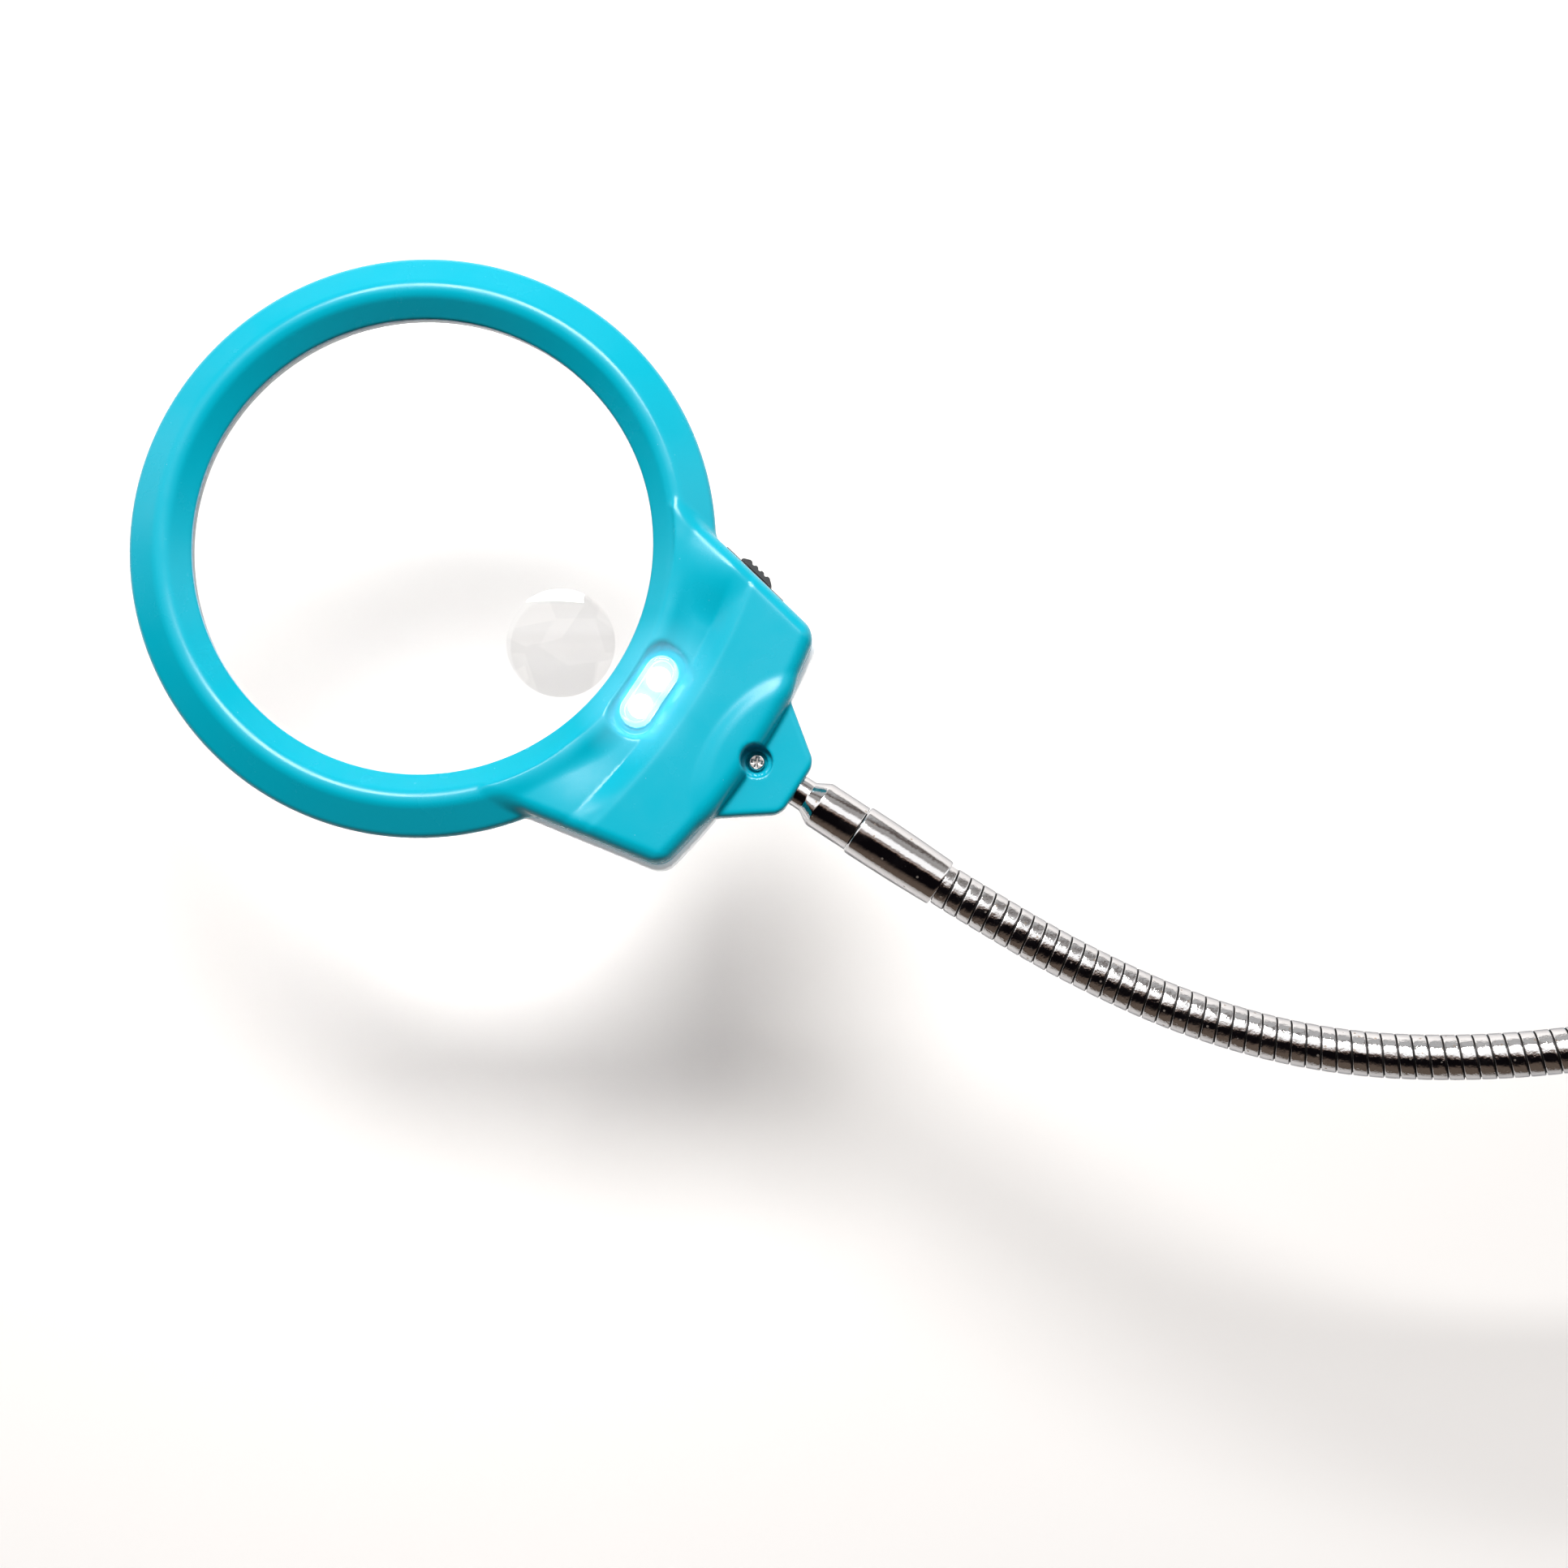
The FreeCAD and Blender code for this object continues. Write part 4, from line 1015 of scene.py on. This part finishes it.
class NeckPath:
    """The neck's centre line by length, with sideways directions that don't twist about it."""

    def __init__(self, line):
        gaps = np.linalg.norm(np.diff(line, axis=0), axis=1)
        self.line = line
        self.run = np.concatenate([[0], np.cumsum(gaps)])
        self.tangents = np.gradient(line, axis=0)
        self.tangents /= np.linalg.norm(self.tangents, axis=1, keepdims=True)
        side = np.array([0.0, 1.0, 0.0])
        sides = []
        for tangent in self.tangents:
            side = side - tangent * side.dot(tangent)
            side = side / np.linalg.norm(side)
            sides.append(side)
        self.sides = np.array(sides)

    def between(self, rows, length):
        """Rows of the line, tangents or sides read at the given lengths."""
        return np.stack([np.interp(length, self.run, rows[:, k]) for k in range(3)], -1)

    def at(self, length, angle):
        """Centre points at the given lengths, and outward directions at the given angles."""
        here = self.between(self.line, length)
        tangent = self.between(self.tangents, length)
        first = self.between(self.sides, length)
        second = np.cross(tangent, first)
        return here, first * np.cos(angle)[..., None] + second * np.sin(angle)[..., None]


# Across one band of the wound strip: (share of the pitch, depth below the crown in millimetres).
BAND = (
    (0.0, 0.60), (0.04, 0.56), (0.055, 0.12), (0.085, 0.03), (0.16, 0.0), (0.33, 0.0), (0.5, 0.0),
    (0.67, 0.0), (0.84, 0.02), (0.91, 0.05), (0.945, 0.14), (0.96, 0.56),
)
# Stretches of BAND in the groove between two turns, painted dark as painted shade; so are a piece's end
# fans.
SHADED_GAP_BANDS = (0, 1, 10, 11)


def strip_rows(path, first_turn, steps):
    """Points of a stretch of wound strip: one row for each point of BAND, running round the helix."""
    angle = 2 * math.pi * np.arange(steps + NECK_COLUMNS + 1) / NECK_COLUMNS
    start = first_turn * NECK_PITCH
    rows = []
    for share, depth in BAND:
        length = start + (angle / (2 * math.pi) + share - 1) * NECK_PITCH
        here, out = path.at(length, angle)
        rows.append(here + out * (NECK_R - depth))
    return np.stack(rows)


def strip_mesh(rows, steps):
    """Points, faces and material numbers of a stretch of strip, its last row joined to the next turn."""
    bands, width = rows.shape[:2]

    def index(band, m):
        return band * width + m if band < bands else m + NECK_COLUMNS

    faces = []
    shades = []
    for band in range(bands):
        for m in range(steps):
            near = (index(band, m), index(band + 1, m))
            far = (index(band + 1, m + 1), index(band, m + 1))
            faces.append(near + far)
            shades.append(1 if band in SHADED_GAP_BANDS else 0)
    flat = rows.reshape(-1, 3)
    used = np.unique(np.array(faces))
    renumber = np.full(len(flat), -1)
    renumber[used] = np.arange(len(used))
    points = flat[used].tolist()
    faces = [tuple(int(renumber[v]) for v in face) for face in faces]
    for end in (0, steps):
        loop = [index(0, m) for m in range(end, end + NECK_COLUMNS + 1)]
        loop += [index(band, end) for band in range(bands - 1, 0, -1)]
        loop = [int(renumber[v]) for v in loop]
        hub = len(points)
        points.append(np.mean([points[v] for v in loop], axis=0).tolist())
        for a, b in zip(loop, loop[1:] + loop[:1]):
            faces.append((hub, a, b))
            shades.append(1)
    return points, faces, shades


def build_gooseneck():
    """Wound strip from base to sleeve, in pieces that each curve round the place of one hinge."""
    hinges, places, joins = neck_curve()
    line, marks = neck_line(places, joins)
    path = NeckPath(line)
    turn_marks = [round(path.run[mark] / NECK_PITCH) for mark in marks]
    turn_marks[-1] = int(path.run[-1] / NECK_PITCH)
    for k, hinge in enumerate(hinges):
        steps = (turn_marks[k + 1] - turn_marks[k]) * NECK_COLUMNS
        points, faces, shades = strip_mesh(strip_rows(path, turn_marks[k], steps), steps)
        name = "gooseneck_%02d" % (k + 1)
        piece = make_mesh(name, points, faces, Matrix.Scale(MM, 4), WOUND_CHROME, 50)
        # The groove faces take the dark painted-shade metal.
        piece.data.materials.append(STRIP_GAP_SHADE)
        piece.data.polygons.foreach_set("material_index", shades)
        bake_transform(piece)
        if hinge["child"].startswith("neck_") and hinge["child"] != "neck_end":
            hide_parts("neck_link_" + hinge["child"][-2:])


def build_ferrule():
    """Turned foot that holds the gooseneck on the base."""
    hinge = Vector(JOINTS["neck_lower_bend"]["pos_m"])
    foot = Vector((hinge.x, hinge.y, (BASE_TOP_Z + 0.02) * MM))
    top = FERRULE_LENGTH - FERRULE_SHOULDER
    profile = [
        (0, 0), (8.0, 0), (8.0, 4.6), (7.2, 5.4), (7.2, 8.6), (6.6, 9.4), (6.0, top - 0.4),
        (5.7, top), (NECK_R + 0.08, top), (NECK_R - 0.2, top - NECK_SOCKET), (0, top - NECK_SOCKET),
    ]
    piece = lathe("neck_foot", rounded(profile, 0.25), about(foot, (0, 0, 1)), CHROME)
    place_piece(piece, "base", "chrome", "neck_ferrule")


# ---- base ----
def build_base():
    """Turquoise cover of the round base."""
    profile = [
        (0, 12.9), (60, 8.6), (67.6, 6.6), (67.6, 1.5), (69.0, 1.5), (BASE_R, 2.4), (BASE_R, 6.6),
        (68.9, 8.3), (66.5, 9.3), (56.0, 11.4), (43.4, 12.9), (21.0, 14.7), (0, BASE_TOP_Z),
    ]
    piece = lathe("base_shell", rounded(profile, 2.2, 6), Matrix.Scale(MM, 4), TURQUOISE, 192)
    place_piece(piece, "base", "turquoise_plastic", "base_cover")


# CAD nodes that show from outside and get softened edges, the bevel's width in metres.
SOFTENED_NODES = ("switch_knob", "switch_plate", "battery_cover", "back_screws", "base_pad")
EDGE_WIDTH = 0.00012


def refine_cad_nodes():
    """Material of its slot on every CAD node, and softened edges on those that show."""
    slots = {entry["node"]: entry["material_slot"] for entry in RECORD["subparts"]}
    for name, obj in frame["nodes"].items():
        obj.data.materials.clear()
        obj.data.materials.append(SLOT_MATERIALS[slots[name]])
        if name in SOFTENED_NODES:
            bevel = obj.modifiers.new("edges", "BEVEL")
            bevel.width = EDGE_WIDTH
            bevel.segments = 2
            bevel.limit_method = "ANGLE"
            bevel.harden_normals = True


# ---- stage, light and camera ----
def build_stage():
    """Pale table top under the lamp."""
    size = 3.0
    corners = [(-size, -size, 0), (size, -size, 0), (size, size, 0), (-size, size, 0)]
    mesh = bpy.data.meshes.new("floor")
    mesh.from_pydata(corners, [], [(0, 1, 2, 3)])
    floor = bpy.data.objects.new("floor", mesh)
    bpy.context.collection.objects.link(floor)
    s = Shader("pale_table")
    s.set("Base Color", s.mix(s.noise(3, 3), (0.935, 0.92, 0.905), (0.915, 0.90, 0.885)))
    s.set("Roughness", 0.6)
    s.set("Specular IOR Level", 0.2)
    mesh.materials.append(s.material)


def build_key_light():
    """Broad lamp overhead towards +Y, which throws the head's shadow towards -Y."""
    direction = Vector((0.0, 0.78, 1.0)).normalized()
    distance = 1.1
    light = bpy.data.lights.new("key", "AREA")
    light.shape = "RECTANGLE"
    light.size = 0.60
    light.size_y = 0.30
    light.energy = 18.0
    light.color = (1.0, 0.99, 0.98)
    obj = bpy.data.objects.new("key", light)
    bpy.context.collection.objects.link(obj)
    obj.location = HEAD.translation + direction * distance
    obj.rotation_mode = "QUATERNION"
    obj.rotation_quaternion = direction.to_track_quat("Z", "Y")
    obj.visible_transmission = False


# Brightness of the surroundings by direction: 0 looks towards -Y, 1 towards +Y.
WORLD_BANDS = (
    (0.11, (0.13, 0.095, 0.075)), (0.19, (0.004, 0.003, 0.004)), (0.50, (0.004, 0.003, 0.004)),
    (0.53, (0.20, 0.12, 0.09)), (0.56, (0.52, 0.46, 0.43)), (0.595, (0.26, 0.19, 0.16)),
    (0.635, (1.45, 1.45, 1.45)), (0.76, (1.45, 1.45, 1.47)), (0.80, (0.42, 0.40, 0.39)),
    (0.87, (0.50, 0.49, 0.48)), (0.90, (0.10, 0.07, 0.06)),
)


def build_world():
    """Room round the lamp: bright towards +Y, black overhead and on the -Y side, brown far towards -Y."""
    world = bpy.data.worlds.new("studio")
    bpy.context.scene.world = world
    world.use_nodes = True
    tree = world.node_tree
    place = tree.nodes.new("ShaderNodeTexCoord")
    split = tree.nodes.new("ShaderNodeSeparateXYZ")
    tree.links.new(place.outputs["Generated"], split.inputs["Vector"])
    ramp = tree.nodes.new("ShaderNodeValToRGB")
    stops = ramp.color_ramp.elements
    stops[0].position = 0.0
    stops[0].color = (0.15, 0.115, 0.09, 1)
    stops[1].position = 0.94
    stops[1].color = (0.60, 0.60, 0.60, 1)
    for position, colour in WORLD_BANDS:
        stops.new(position).color = (*colour, 1)
    share = tree.nodes.new("ShaderNodeMapRange")
    tree.links.new(split.outputs["Y"], share.inputs["Value"])
    share.inputs["From Min"].default_value = -1.0
    share.inputs["From Max"].default_value = 1.0
    tree.links.new(share.outputs["Result"], ramp.inputs["Fac"])
    background = tree.nodes["Background"]
    tree.links.new(ramp.outputs["Color"], background.inputs["Color"])
    background.inputs["Strength"].default_value = 0.95


CAMERA_OFFSET = Vector((82.5, -54.4, 500.0))
CAMERA_SENSOR = 36.0
CAMERA_LENS = 50.1


def build_camera():
    """Straight down from half a metre over the lens plane, the head up and left of the middle."""
    data = bpy.data.cameras.new("camera")
    data.sensor_width = CAMERA_SENSOR
    data.lens = CAMERA_LENS
    data.clip_start = 0.01
    camera = bpy.data.objects.new("camera", data)
    bpy.context.collection.objects.link(camera)
    camera.location = HEAD.translation + CAMERA_OFFSET * MM
    camera.rotation_euler = (0, 0, 0)
    bpy.context.scene.camera = camera


def main():
    bpy.context.scene.view_settings.view_transform = "Standard"
    refine_cad_nodes()
    build_front()
    build_back()
    build_lens()
    build_window()
    build_tab_screw()
    build_stem()
    build_sleeve()
    build_gooseneck()
    build_ferrule()
    build_base()
    build_stage()
    build_world()
    build_key_light()
    build_camera()


main()
